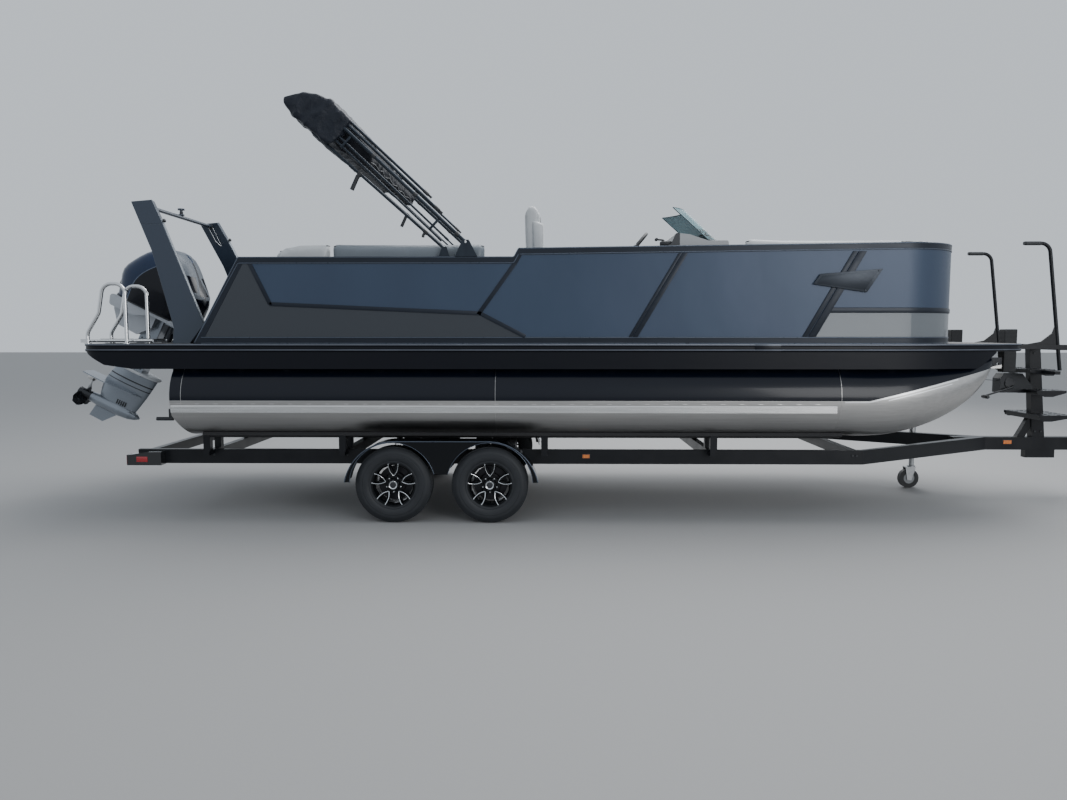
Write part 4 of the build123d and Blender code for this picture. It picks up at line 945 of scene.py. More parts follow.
# Leg fittings. A pale fairing ring where the leg passes the pan's skirt, water inlets on both
# sides of the gearcase, a trim tab and bolts.
FAIRING = [     # half length, half width, height
    (0.222, 0.070, -0.566), (0.250, 0.096, -0.560), (0.258, 0.104, -0.548),
    (0.250, 0.096, -0.536), (0.225, 0.074, -0.530),
]
fairing = hull_rings([(-0.335, *row, 0) for row in FAIRING], 2.4)
pale = Finish("fairing_white", (0.66, 0.68, 0.70), 0.35, Coat_Weight=0.4).worn(200, 0.12, 0.28)
piece("leg_fairing_ring", motor(fairing), pale, body="outboard")
slots = [bar((x, x + 0.012), (-0.0495, -0.0435), (-0.935, -0.885), 0.002)
         for x in (-0.300, -0.322, -0.344, -0.366, -0.388)]
bolts = studs([(x, -0.0765, z) for x in (-0.40, -0.29) for z in (-0.5, -0.2)], (0, 0.003, 0),
              0.009, 0.002, 6)
piece("leg_inlets_and_bolts", motor(twins(join(*slots, *bolts))), trim_finish, body="outboard")
TAB = [(-0.655, -0.780), (-0.755, -0.780), (-0.775, -0.835), (-0.70, -0.845)]
piece("trim_tab", motor(prism("XZ", TAB, -0.006, 0.006, 0.003)), weld_finish, body="outboard")
nuts = [disc((0, s * 0.1255, 0), (0, s * 0.140, 0), 0.024, 0.004, 6) for s in (-1, 1)]
clamps = studs([(-0.045, y, z) for y in (-0.110, 0.110) for z in (-0.09, -0.18)],
               (0.015, 0, 0), 0.012, 0.003, 6)
piece("bracket_bolts", moved(join(*nuts, *clamps), shift(*PIVOT)), weld_finish)

# Propeller. Three cupped blades, twisted more toward the hub, on a flared hub with a nut.
PITCH, SHAFT_Z, THIRDS = 0.48, -0.990, (0, 120, 240)
prop_finish = Finish("propeller_black", (0.02, 0.022, 0.026), 0.28, Metallic=0.6, Coat_Weight=0.4)
prop_finish.worn(90, 0.15, 0.2)
rows = []
for n in range(9):
    out = n / 8     # 0 at the blade's root and 1 at its tip
    r = 0.040 + 0.148 * out
    chord = 0.062 + 0.075 * sin(pi * min(1.0, 0.18 + 0.70 * out)) if n < 8 else 0.040
    twist = atan2(PITCH, 2 * pi * r) if r > 0.06 else radians(48)
    skew = 0.030 * out**2
    ring = []
    for k in range(10):
        c, s = cos(2 * pi * k / 10), sin(2 * pi * k / 10)
        u, v = c * chord / 2 - skew, s * (0.0042 - 0.0018 * out) + 0.010 * c**2
        ring.append((u * sin(twist) + v * cos(twist) - 0.720, v * sin(twist) - u * cos(twist), r))
    rows.append(ring)
HUB = [(-0.6503, 0.0), (-0.6503, 0.042), (-0.660, 0.048), (-0.765, 0.046), (-0.782, 0.050),
       (-0.789, 0.046), (-0.789, 0.030), (-0.775, 0.028), (-0.775, 0.0)]
nut = disc((-0.789, 0, 0), (-0.774, 0, 0), 0.016, 0.003, 6)
blades = copies(closed(skin(rows)), [turn(a, "X") for a in THIRDS])
whole = moved(join(blades, lathe(HUB, toward=(1, 0, 0)), nut), shift(0, 0, SHAFT_Z))
piece("propeller_blades", motor(whole), prop_finish, body="propeller", replaces=("propeller",))

# Tow arch. Two dark slate blades lean in over the motor and carry a round bar. Each has a thin
# light strip along its front edge as a painted highlight, a hand knob, a seam near the top and a
# wire hook by the bar.
ARCH_LEAN, DECK_TOP = atan2(0.218, 1.285), 1.547
arch_finish = Finish("arch_slate", (0.03, 0.045, 0.07), 0.34, Metallic=0.3, Coat_Weight=0.35)
x, y, z = arch_finish.axes()
flake = arch_finish.noise(600)
seam_line = abs(z + x * 0.05 - 2.42) < 0.0015
arch_finish.colour(arch_finish.mix(flake, (0.018, 0.028, 0.045), (0.036, 0.052, 0.078)))
arch_finish.rough(flake * 0.12 + 0.26)
arch_finish.bump(seam_line * -1.0, 0.002)
wear("tow_arch", arch_finish)
# This light metal is the painted highlight strip on the arch blades, and the plates on the steering
# wheel's spokes.
satin_and_glint = Finish("satin_and_glint_strip", (0.30, 0.33, 0.36), 0.35, Metallic=0.7).worn(300, 0.15, 0.28)
steel = Finish("polished_steel", (0.72, 0.73, 0.74), 0.12, Metallic=1.0).worn(25, 0.10, 0.08)


def leg(part):
    """Places a part of the port blade's own frame: X along, Y through and Z up it."""
    c, s = cos(ARCH_LEAN), sin(ARCH_LEAN)
    return moved(part, Matrix(((1, 0, 0, 0), (0, c, -s, 0.945), (0, s, c, DECK_TOP), (0, 0, 0, 1))))


def ridge(at, half, low, high):
    """The profile of a bevelled ring for lathe, from its low radius to its high one."""
    flat = half * 2 / 3
    return [(at - half, low), (at - flat, high), (at + flat, high), (at + half, low)]


top_end, low_end = (Vector((x, (z - DECK_TOP) / cos(ARCH_LEAN)))
                    for x, z in ((-3.957, 2.668), (-3.535, 1.729)))
out = Vector((top_end.y - low_end.y, low_end.x - top_end.x)).normalized() * 0.0018
strip_side = [tuple(p) for p in (top_end, low_end, low_end + out, top_end + out)]
# Painted highlight: a thin light metal sheet along each blade's front edge, where the edge catches
# the light.
piece("arch_front_glint_strips", twins(leg(prism("XZ", strip_side, -0.021, 0.021, 0.0006))), satin_and_glint)
KNOB = [(0, 0), (0, 0.007), (0.012, 0.007), (0.014, 0.017), (0.026, 0.018), (0.032, 0.012),
        (0.033, 0)]
knobs = [lathe(KNOB, (-3.952, s * 0.759, 2.645), (0.91, 0, 0.41), 16) for s in (-1, 1)]
collars = [disc((-4.117, s * 0.702, 2.79), (-4.117, s * 0.690, 2.79), 0.026, 0.003)
           for s in (-1, 1)]
tow_rings = [lathe(ridge(z, 0.003, 0.0142, 0.018), (-4.117, 0, 0)) for z in (2.826, 2.834, 2.842)]
piece("arch_knobs_and_collars", join(*knobs, *collars, *tow_rings), trim_finish)
hook = pipe([(-4.140, 0.697, 2.780), (-4.075, 0.712, 2.640), (-4.015, 0.728, 2.575),
             (-4.020, 0.722, 2.600), (-4.095, 0.697, 2.780)], 0.0035, 0.02)
piece("arch_wire_hooks", twins(hook), steel)

# Stern handrails and boarding ladder. Polished steel tubes; the handrails stand on screwed round
# feet, and each ladder rung carries a ribbed plastic tread.
wear("stern_handrails", steel)
wear("boarding_ladder", steel)
places = [(x + 0.023 * cos(a), y + 0.023 * sin(a), 1.552)
          for y in (-1.18, -0.80) for x in (-4.44, -4.10) for a in (0.5, 2.6, 4.7)]
screws = studs(places, (0, 0, 0.0035), 0.0045, 0.001, 12)
piece("handrail_screws", join(*screws), steel)
treads = []
for x in (-4.36, -4.21, -4.06, -3.91):
    treads.append(bar((x - 0.024, x + 0.024), (-1.095, -0.885), (1.581, 1.587), 0.002))
    treads += [bar((x + k - 0.002, x + k + 0.002), (-1.09, -0.89), (1.5865, 1.589))
               for k in (-0.018, -0.006, 0.006, 0.018)]
piece("ladder_treads", join(*treads), trim_finish, body="boarding_ladder")
wear("transducer", trim_finish)

# Helm console. A moulded two-tone stand with a dark dash: a blank display, a row of switches, a
# throttle lever beside the wheel, a door in its side and a grab rail on its aft face.
console_finish = Finish("console_gelcoat", (0.3, 0.31, 0.32), 0.3, Coat_Weight=0.5)
x, _, z = console_finish.axes()
dash = (x < 0.66) * (z > 2.12)
grain = console_finish.noise(400)
gelcoat = console_finish.mix(grain, (0.30, 0.31, 0.32), (0.38, 0.39, 0.40))
console_finish.colour(console_finish.mix(dash, gelcoat, (0.022, 0.025, 0.030)))
console_finish.rough(dash * 0.2 + grain * 0.08 + 0.26)
console_finish.bump(grain, 0.0003)
wear("helm_console", console_finish)
HELM_Y, DASH_SLOPE = -0.760, degrees(atan2(0.065, 0.127))


def dashed(part):
    """Places a part on the dash: X up its slope, Y across the boat, Z out of it."""
    return moved(part, shift(0.5235, HELM_Y, 2.3675) @ turn(-DASH_SLOPE))


glass = Finish("display_glass", (0.008, 0.010, 0.014), 0.06, Coat_Weight=1.0).worn(3, 0.05, 0.04)
piece("dash_display", dashed(bar((-0.052, 0.052), (-0.02, 0.200), (-0.001, 0.007), 0.003)), glass)
bezel = bar((-0.060, 0.060), (-0.030, 0.210), (-0.002, 0.0045), 0.002)
switches = [bar((-0.020, 0.010), (y, y + 0.018), (0.000, 0.008), 0.002)
            for y in (-0.085, -0.115, -0.145, -0.175, -0.205)]
piece("dash_switches", dashed(join(bezel, *switches)), trim_finish)
lever = pipe([(0.545, -1.085, 2.41), (0.525, -1.085, 2.436), (0.470, -1.085, 2.440)], 0.008, 0.02)
throttle = join(bar((0.50, 0.60), (-1.120, -1.050), (2.385, 2.425), 0.012), lever,
                disc((0.468, -1.110, 2.440), (0.468, -1.060, 2.440), 0.013, 0.005, 20))
piece("throttle_lever", throttle, trim_finish)
door = bar((0.70, 0.94), (-0.4405, -0.4365), (1.66, 2.10), 0.0015)
knob = disc((0.73, -0.438, 1.90), (0.73, -0.424, 1.90), 0.014, 0.003)
piece("console_door", join(door, knob), console_finish)

# Windscreen. Bent teal acrylic, 6 mm thick, leaning aft on the console, with a dark dotted band
# along its foot and a rubber edge.
acrylic = Finish("teal_acrylic", (0.16, 0.30, 0.36), 0.22, Specular_IOR_Level=0.12)
z = acrylic.axes()[2]
cell = acrylic.node("ShaderNodeTexVoronoi", {}, {"Vector": acrylic.place, "Scale": 70.0})
band = ((z < 2.53) * (cell < 0.55)).high(z < 2.445)
haze = acrylic.noise(5)
teal = acrylic.mix(haze, (0.13, 0.25, 0.29), (0.20, 0.34, 0.37))
acrylic.colour(acrylic.mix(band, teal, (0.012, 0.014, 0.018)))
acrylic.rough(haze * 0.12 + 0.28)
acrylic.feed(acrylic.inputs["Alpha"], band * 0.20 + 0.76)
wear("windscreen", acrylic)
foot = through((0.915, -1.109), (1.065, -0.795), (0.915, -0.481), 16)
edge_route = [(x - 0.3108, y, 2.7072) for x, y in foot]
ends = [[(*foot[n], 2.430), edge_route[n]] for n in (0, -1)]
rubber = [pipe(edge_route, 0.0048, sides=3)] + [pipe(route, 0.0046, sides=3) for route in ends]
rubber.append(pipe([(x, y, 2.429) for x, y in foot], 0.0085, sides=3))
screen_edge = Finish("acrylic_edge", (0.05, 0.085, 0.10), 0.3).worn(90, 0.15, 0.25)
piece("windscreen_edge", join(*rubber), screen_edge)

# Steering wheel. A padded dark rim with stitched grips, satin plates on its three spokes and a
# round cap on the hub.
rim_grip = Finish("wheel_leather", (0.02, 0.021, 0.024), 0.5).worn(40, 0.2, 0.4)
rim_grip.bump(rim_grip.noise(500), 0.0006)
wear("steering_wheel", rim_grip)


def helm(part):
    """Places a part whose +X runs down the steering column from the wheel's centre."""
    return moved(part, shift(0.321, HELM_Y, 2.406) @ turn(40))


CAP = [(-0.022, 0), (-0.021, 0.022), (-0.017, 0.030), (-0.0135, 0.031), (-0.0135, 0)]
spokes = copies(bar((-0.0095, -0.0085), (-0.010, 0.010), (0.036, 0.138), 0.0003),
                [turn(a, "X") for a in THIRDS])
piece("wheel_hub_and_spokes", helm(join(lathe(CAP, toward=(1, 0, 0)), spokes)), satin_and_glint,
      body="steering_wheel")
grip = lathe(ridge(0, 0.0015, 0.0138, 0.0150), (0, 0, 0.155), (0, 1, 0), 20)
grips = copies(grip, [turn(a + aside, "X") for a in (30, 150, 270) for aside in (28, -28)])
piece("wheel_grip_rings", helm(grips), trim_finish, body="steering_wheel")

# Helm chair. Sewn pale vinyl over foam on a plate that turns on a brushed pedestal: seat, seat
# bolsters, a high back with a darker middle panel, and dark armrests on posts.
wear("helm_chair_pedestal", member_finish)
SEAT = [(-0.35, -0.99, 0), (-0.105, -0.99, 0), (-0.105, -0.45, 0), (-0.615, -0.45, 0),
        (-0.615, -0.99, 0), (-0.35, -0.99, 0)]
seat_plan = [p[:2] for p in rounded(SEAT, 0.06)[:-1]]
BACK = [(-0.640, 2.055), (-0.520, 2.055), (-0.542, 2.690), (-0.575, 2.765), (-0.635, 2.765),
        (-0.658, 2.690)]
WING = [(-0.60, 2.10), (-0.470, 2.10), (-0.500, 2.60), (-0.60, 2.63)]
FRONT, ARM = (-0.20, -0.103), (-0.597, -0.203)
FORMS = [   # name, plane, outline, low, high, edge, finish
    ("helm_seat", "XY", seat_plan, 1.958, 2.068, 0.028, pale_vinyl),
    ("helm_seat_front", "XY", rectangle(FRONT, (-0.985, -0.455)), 2.03, 2.083, 0.022, pale_vinyl),
    ("helm_back", "XZ", BACK, -0.945, -0.495, 0.030, pale_vinyl),
    ("helm_back_right", "XZ", WING, -0.957, -0.905, 0.018, pale_vinyl),
    ("helm_back_left", "XZ", WING, -0.535, -0.483, 0.018, pale_vinyl),
    ("helm_arm_right", "XY", rectangle(ARM, (-1.009, -0.955), 0), 2.243, 2.288, 0.018, dark_vinyl),
    ("helm_arm_left", "XY", rectangle(ARM, (-0.485, -0.431), 0), 2.243, 2.288, 0.018, dark_vinyl),
]
forms = [piece(name, prism(*form, 3), finish, body="helm_chair") for name, *form, finish in FORMS]
swell(forms, frames=14, pressure=3.0, cap=0.010, voxel=0.018, rests=False)
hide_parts("helm_chair")
frame_parts = [bar((-0.588, -0.532), (y - 0.014, y + 0.014), (2.04, 2.248), 0.006)
               for y in (-0.972, -0.468)]
frame_parts.append(bar((-0.52, -0.22), (-0.87, -0.57), (1.9355, 1.952), 0.003))
frame_parts.append(disc((-0.24, -0.87, 1.944), (-0.24, -0.93, 1.944), 0.007, 0.003, 16))
piece("helm_chair_frame", join(*frame_parts), bracket_finish, body="helm_chair")
corners = [Vector((-0.512, y, z)) for y, z in rectangle((-0.86, -0.58), (2.12, 2.66), 0)]
sides = zip(corners, corners[1:] + corners[:1])
long_route = [a.lerp(b, n / 8) for a, b in sides for n in range(8)]
welt = pipe(snapped(long_route, forms[2], 0.001), 0.004, sides=2)
piece("helm_back_welt", welt, piping_finish, body="helm_chair", smooth=60)
base_bolts = studs([(-0.37 + 0.14 * cos(a), -0.72 + 0.14 * sin(a), 1.5665)
                    for a in (0.4, 1.45, 2.5, 3.54, 4.6, 5.64)], (0, 0, 0.0045), 0.009, 0.002, 6)
piece("pedestal_bolts", join(*base_bolts), steel)

# Folded top. Dark anodised bows and braces with plastic end fittings, clamps and pegs. A wrinkled
# cloth boot covers their upper ends, and the canopy's dull cloth comes out of the boot's mouth.
bow_finish = Finish("bow_tube", (0.02, 0.028, 0.036), 0.3, Metallic=0.6)
bow_finish.worn(30, 0.15, 0.22, (0.014, 0.020, 0.028), (0.034, 0.044, 0.058), stretch=(1, 1, 0.1))
for node in ("bimini_main_bow", "bimini_inner_bows", "bimini_braces", "bimini_mounts"):
    wear(node, bow_finish)
BOW_LEAN, BOW_PIVOT = 43, Vector((-1.157, 0, 2.404))
TO_TOP = shift(*BOW_PIVOT) @ turn(BOW_LEAN)


def folded(part):
    """Places a part of the folded top's frame: pivot at 0, -X along the bows."""
    return moved(part, TO_TOP)


fittings = []
for x, z, y in ((-0.350, 0.042, 1.205), (-0.507, 0.076, 1.190)):
    fittings.append(disc((x - 0.05, y, z), (x + 0.004, y, z), 0.0150, 0.002, 16))
    tongue = bar((x + 0.002, x + 0.040), (y - 0.003, y + 0.003), (z - 0.010, z + 0.010), 0.002)
    fittings.append(tongue)
for x in (-0.10, -0.58, -1.05):
    fittings.append(disc((x - 0.018, 1.222, 0), (x + 0.018, 1.222, 0), 0.0195, 0.002, 20))
piece("bow_end_fittings", folded(twins(join(*fittings))), trim_finish, body="folding_top")
side_tubes = []
for x, z in ((-0.12, -0.088), (-0.16, -0.130)):
    side_tubes += [disc((-1.40, 1.2145, z + 0.008), (x, 1.2145, z), 0.0095, 0.002, 16),
                   disc((x - 0.040, 1.2145, z), (x, 1.2145, z), 0.0108, 0.002, 16)]
clips = [bar((x - 0.010, x + 0.010), (1.205, 1.226), (-0.138, 0.0), 0.003) for x in (-0.30, -1.30)]
piece("bow_side_tubes", folded(twins(join(*side_tubes, *clips))), bow_finish, body="folding_top")
BRACE_FOOT, BRACE_LEAN = Vector((-1.341, 1.180, 2.352)), radians(41.4)
BRACE_WAY = Vector((-cos(BRACE_LEAN), 0, sin(BRACE_LEAN)))
pegs = []
for along_brace, down, r in ((0.95, 0.150, 0.0180), (0.215, 0.050, 0.012)):
    at = BRACE_FOOT + BRACE_WAY * along_brace
    end = at + Vector((-0.48, 0, -0.88)) * down
    pegs.append(disc(at - BRACE_WAY * 0.022, at + BRACE_WAY * 0.022, 0.0165, 0.002, 20))
    route = [at + Vector((0.01, 0, 0)), at + Vector((-0.020, 0, -0.020)), end]
    pegs.append(pipe(route, r, 0.02, 5))
piece("brace_pegs", twins(join(*pegs)), trim_finish, body="top_braces")
mount_bolts = studs([(x, 1.222, 2.2925) for x in (-1.230, -1.080)], (0, 0, 0.0045),
                    0.007, 0.001, 12)
mount_bolts += studs([(-1.157, 1.2478, 2.404)], (0, 0.0057, 0), 0.011, 0.002, 6)
piece("top_mount_bolts", twins(join(*mount_bolts)), steel)

cloth_finish = Finish("boot_cloth", (0.008, 0.011, 0.020), 0.45, Sheen_Weight=0.03,
                      Specular_IOR_Level=0.32)
weave = cloth_finish.noise(900)
creases = cloth_finish.noise(11, (1.0, 0.3, 1.0), 4.0)
cloth_finish.colour(
    cloth_finish.mix(weave * 0.4 + creases * 0.6, (0.003, 0.005, 0.010), (0.013, 0.018, 0.031)))
cloth_finish.rough(creases * 0.25 + 0.28)
cloth_finish.bump(abs(creases - 0.5) * -1.0 + weave * 0.05, 0.020)
canopy_finish = Finish("canopy_cloth", (0.02, 0.02, 0.024), 0.6, Specular_IOR_Level=0.05)
weave = canopy_finish.noise(1100)
creases = canopy_finish.noise(16, (1.0, 0.4, 1.0), 2.5)
canopy_finish.colour(canopy_finish.mix(creases, (0.006, 0.008, 0.012), (0.036, 0.037, 0.043)))
canopy_finish.rough(creases * 0.2 + 0.45)
canopy_finish.bump(abs(creases - 0.5) * -1.0 + weave * 0.008, 0.006)


def creased(thing, deep, scale):
    """Lays sharp ridged folds on a cloth form, drawn out along its slope."""
    back = Matrix.Rotation(radians(-BOW_LEAN), 3, "Y")
    for vert in thing.data.vertices:
        p = back @ (vert.co - BOW_PIVOT)
        x, y, z = p.x * scale[0], p.y * scale[1], p.z * scale[2]
        q = Vector((x + z * 0.35, y, z - x * 0.5))
        ridge = 1.0 - min(1.0, abs(noise.noise(q)) * 3.2)
        small = noise.noise(q * 2.7)
        vert.co += vert.normal * deep * (ridge**2 + 0.30 * small - 0.35)


BOOT = [(-1.375, 0.092), (-1.50, 0.098), (-1.62, 0.100), (-1.70, 0.074), (-1.78, 0.036),
        (-1.86, -0.045), (-1.928, -0.140), (-1.925, -0.180), (-1.89, -0.200), (-1.80, -0.214),
        (-1.60, -0.210), (-1.44, -0.196), (-1.375, -0.165)]
boot = piece("bimini_boot_cloth", folded(prism("XZ", BOOT, -1.236, 1.236, 0.022)), cloth_finish,
             body="folding_top")
swell([boot], frames=20, pressure=1.2, cap=0.016, voxel=0.024, slack=0.10, rests=False)
creased(boot, 0.020, (8.0, 3.0, 4.5))
MOUTH = [(-1.39, 0.038), (-1.22, 0.030), (-1.13, 0.018), (-1.085, -0.02), (-1.070, -0.07),
         (-1.095, -0.108), (-1.22, -0.130), (-1.39, -0.150)]
canopy = piece("folded_canopy_cloth", folded(prism("XZ", MOUTH, -1.125, 1.125, 0.010)),
               canopy_finish, body="folding_top")
swell([canopy], frames=16, pressure=1.2, cap=0.010, voxel=0.016, slack=0.10, rests=False)
creased(canopy, 0.014, (3.0, 5.0, 13.0))
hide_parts("bimini_boot")
hem = [Vector((-1.060, n / 20, -0.048 + 0.008 * sin(n * 0.9))) for n in range(-22, 23)]
cord = pipe(snapped([TO_TOP @ p for p in hem], canopy, 0.002), 0.0035, sides=2)
piece("canopy_drawcord", cord, piping_finish, body="folding_top", smooth=60)

# Trailer frame. Gloss black powder-coated steel: box rails, cross tubes, arms to the tongue, axles,
# bunk posts, winch stand and steps, with end caps, hex bolts and weld beads at the cross tubes.
coat_finish = Finish("black_powder_coat", (0.005, 0.006, 0.008), 0.3, Specular_IOR_Level=0.3)
coat_finish.worn(7, 0.16, 0.24, (0.003, 0.004, 0.006), (0.011, 0.012, 0.015))
coat_finish.bump(coat_finish.noise(500), 0.00006)
for node in ("trailer_frame", "axles", "bunk_brackets", "winch_stand", "boarding_steps", "coupler"):
    wear(node, coat_finish)
STATIONS = (-4.040, -3.500, -2.300, -0.520, 0.960, 2.230)
end_cap = bar((-4.1395, -4.130), (0.943, 0.987), (0.478, 0.599), 0.003)
hexes = studs([(x + dx, 0.9895, 0.555) for x in STATIONS for dx in (0.012, 0.048)],
              (0, 0.008, 0), 0.011, 0.002, 6)
hexes += studs([(x + 0.025, y, 0.6015) for x in STATIONS[1:5] for y in (1.01, 1.06)],
               (0, 0, 0.0075), 0.010, 0.002, 6)
piece("frame_caps_and_bolts", twins(join(end_cap, *hexes)), trim_finish)
beads = [pipe([(x + dx, 0.9405, 0.512), (x + dx, 0.9405, 0.602)], 0.0035, sides=2)
         for x in STATIONS for dx in (-0.001, 0.061)]
beads += [pipe([(x, 0.9915, 0.600), (x + 0.05, 0.9915, 0.600)], 0.003, sides=2)
          for x in STATIONS[1:5]]
piece("frame_weld_beads", twins(join(*beads)), coat_finish)

# Bunks. Long boards wrapped in dark outdoor carpet, on brackets bolted to the cross tubes. The
# three tubes rest on them.
carpet = Finish("bunk_carpet", (0.03, 0.03, 0.032), 0.95)
tuft = carpet.noise(420)
carpet.colour(carpet.mix(tuft, (0.012, 0.012, 0.013), (0.050, 0.050, 0.053)))
carpet.bump(tuft, 0.003)
wear("bunks", carpet)

# Lights. Red lamps at the back with ribbed lenses in black housings, amber marks along the sides
# and on the tongue, each in a plastic bezel.
lamp_finish = Finish("lamp_lens", (0.5, 0.02, 0.02), 0.15, Coat_Weight=0.8)
x, y, _ = lamp_finish.axes()
aft = x < -1.0
housing = aft * (x > -4.1945)
rib = ((x + y) * 420).wave() * 0.5 + 0.5
red_lens = lamp_finish.mix(rib, (0.26, 0.006, 0.010), (0.48, 0.020, 0.022))
amber_lens = lamp_finish.mix(rib, (0.62, 0.14, 0.02), (0.85, 0.26, 0.04))
lens = lamp_finish.mix(aft, amber_lens, red_lens)
lamp_finish.colour(lamp_finish.mix(housing, lens, (0.010, 0.011, 0.013)))
lamp_finish.bump(rib * (1.0 - housing), 0.0010)
wear("trailer_lights", lamp_finish)
lens_red = Finish("side_lens_red", (0.36, 0.010, 0.016), 0.15, Coat_Weight=0.8).worn(30, 0.08, 0.12)
side_lens = bar((-4.108, -4.010), (1.0835, 1.0890), (0.500, 0.548), 0.002)
piece("tail_side_lenses", twins(side_lens), lens_red)
BEZELS = [  # x, y, z, edge
    ((-4.1965, -4.188), (0.9895, 1.0855), (0.470, 0.480), 0.002),
    ((-4.1965, -4.188), (0.9895, 1.0855), (0.555, 0.562), 0.002),
    ((-0.156, -0.084), (0.9900, 0.9925), (0.524, 0.566), 0.001),
    ((4.094, 4.186), (0.0450, 0.0475), (0.529, 0.576), 0.001),
]
piece("light_bezels", twins(join(*(bar(*box) for box in BEZELS))), trim_finish)

# Wheels. Radial tyres with a blocked tread and plain ringed sidewalls on gloss black rims, whose
# five pairs of legs are edged with bright beads; capped hubs, lug nuts and a brake disc inside.
TYRE_RADIUS, TREAD_LOW = 0.3315, 0.3245
rubber_finish = Finish("tyre_rubber", (0.018, 0.020, 0.023), 0.62)
rubber_finish.worn(14, 0.2, 0.50, (0.009, 0.011, 0.014), (0.024, 0.027, 0.032))
rubber_finish.bump(rubber_finish.noise(500), 0.0004)
rim_finish = Finish("rim_gloss_black", (0.004, 0.005, 0.006), 0.14, Specular_IOR_Level=0.25)
rim_finish.worn(40, 0.08, 0.20)
chrome = Finish("machined_bright", (0.78, 0.80, 0.82), 0.12, Metallic=1.0).worn(150, 0.12, 0.08)
disc_finish = Finish("brake_disc", (0.05, 0.05, 0.055), 0.45, Metallic=0.7).worn(300, 0.2, 0.35)
IN, OUT = 1.065, 1.270      # Y of the tyre's two sides
CARCASS = [     # distance from the inner side, radius
    (0.022, 0.1905), (0.012, 0.196), (0.009, 0.207), (0.0115, 0.211), (0.0035, 0.222),
    (0.001, 0.245), (0.0005, 0.262), (0.0035, 0.266), (0.003, 0.280), (0.007, 0.296),
    (0.010, 0.299), (0.016, 0.312), (0.026, 0.3225), (0.036, TREAD_LOW),
]
TREAD = (1.1130, 0.024), (1.1402, 0.022), (1.1675, 0.024), (1.1948, 0.022), (1.2220, 0.024)
LUGS = 66       # tread blocks round the tyre


def on_wheels(name, part, finish, stands_for=None):
    """A piece on each of the four wheels, turned over for the starboard side."""
    for place, x in (("rear", -1.797), ("front", -0.962)):
        for side in ("left", "right"):
            twin = mirror(part) if side == "right" else part.copy()
            replaces = (f"{stands_for}_{place}_{side}",) if stands_for else ()
            piece(f"{name}_{place}_{side}", moved(twin, shift(x, 0, TYRE_RADIUS)), finish,
                  body=f"wheel_{place}_{side}", replaces=replaces)
    part.free()


blocks = []
for row, (y, wide) in enumerate(TREAD):
    block = bar((-0.0135, 0.0135), (y - wide / 2, y + wide / 2),
                (TREAD_LOW - 0.002, TYRE_RADIUS - 0.0002))
    if row % 2:     # every other row is slanted
        moved(block, shift(0, y, 0) @ Matrix.Shear("XZ", 4, (-0.25, 0.0)) @ shift(0, -y, 0))
    blocks.append(copies(block, [turn(360 * (n + row * 0.37) / LUGS) for n in range(LUGS)]))
lug = bar((-0.011, 0.011), (IN + 0.030, IN + 0.042), (0.3215, 0.3300), 0.001)
shoulder = copies(lug, [turn(360 * n / LUGS) for n in range(LUGS)])
other = moved(mirror(shoulder), shift(0, IN + OUT, 0))
profile = [(IN + y, r) for y, r in CARCASS] + [(OUT - y, r) for y, r in reversed(CARCASS)]
tyre = join(lathe(profile, toward=(0, 1, 0), steps=72), *blocks, shoulder, other)
on_wheels("tyre_tread", tyre, rubber_finish, "tyre")
for corner in ("rear_left", "rear_right", "front_left", "front_right"):
    wear(f"rim_{corner}", rim_finish)


def spoke(r, angle, proud=0.0):
    """A point on the outer face of the spokes, which climb from the hub to the rim's lip."""
    c, s = cos(radians(angle)), sin(radians(angle))
    return Vector((r * c, 1.2235 + (r - 0.075) * 0.213 + proud, r * s))


SPOKE = [   # radius, angle off the pair's middle
    (0.1865, 13.2), (0.172, 14.2), (0.155, 15.0), (0.130, 15.3), (0.112, 14.0), (0.096, 10.6),
    (0.084, 6.0),
]
brights, arms = [], []
for n in range(5):
    middle = 90 + 72 * n
    for s in (-1, 1):
        rows = []
        for r, a in SPOKE + [(0.070, 0.5)]:
            at = spoke(r, middle + s * a)
            side = Vector((-at.z, 0, at.x)).normalized() * (0.0085 if r > 0.1 else 0.0105)
            deep = Vector((0, -0.030 if r > 0.16 else -0.012, 0))
            rows.append([at - side * 0.7, at + side * 0.7, at + side + deep, at - side + deep])
        arms.append(closed(skin(rows)))
        at = spoke(0.1868, middle + s * 13.2, -0.002)
        brights += studs([at], (0, 0.0055, 0), 0.0052, 0.0015, 16)
    line = [spoke(r, middle + a, 0.0006) for r, a in SPOKE] + [spoke(0.0725, middle, 0.0006)]
    line += [spoke(r, middle - a, 0.0006) for r, a in reversed(SPOKE)]
    brights.append(pipe(line, 0.0036, 0.010, 3))
on_wheels("rim_spokes", join(*arms), rim_finish)
HUB_RING = [(1.250, 0.0), (1.250, 0.038), (1.2545, 0.0395), (1.262, 0.037), (1.2645, 0.034),
            (1.262, 0.030), (1.260, 0.0)]
brights.append(lathe(HUB_RING, toward=(0, 1, 0)))
for n in range(5):      # lug nuts
    brights += studs([spoke(0.064, 54 + 72 * n, -0.008)], (0, 0.019, 0), 0.0085, 0.003, 6)
on_wheels("rim_brights", join(*brights), chrome)
CENTRE = [(1.2595, 0.0), (1.2595, 0.0285), (1.2625, 0.027), (1.264, 0.020), (1.264, 0.0)]
valve = disc((-0.094, 1.206, 0.129), (-0.0925, 1.228, 0.127), 0.0035, 0.001, 10)
on_wheels("hub_caps", join(lathe(CENTRE, toward=(0, 1, 0), steps=24), valve), trim_finish)
ROTOR = [(1.118, 0.064), (1.118, 0.150), (1.128, 0.150), (1.128, 0.098), (1.150, 0.090),
         (1.150, 0.064), (1.118, 0.064)]
on_wheels("brake_discs", lathe(ROTOR, toward=(0, 1, 0), steps=48), disc_finish)

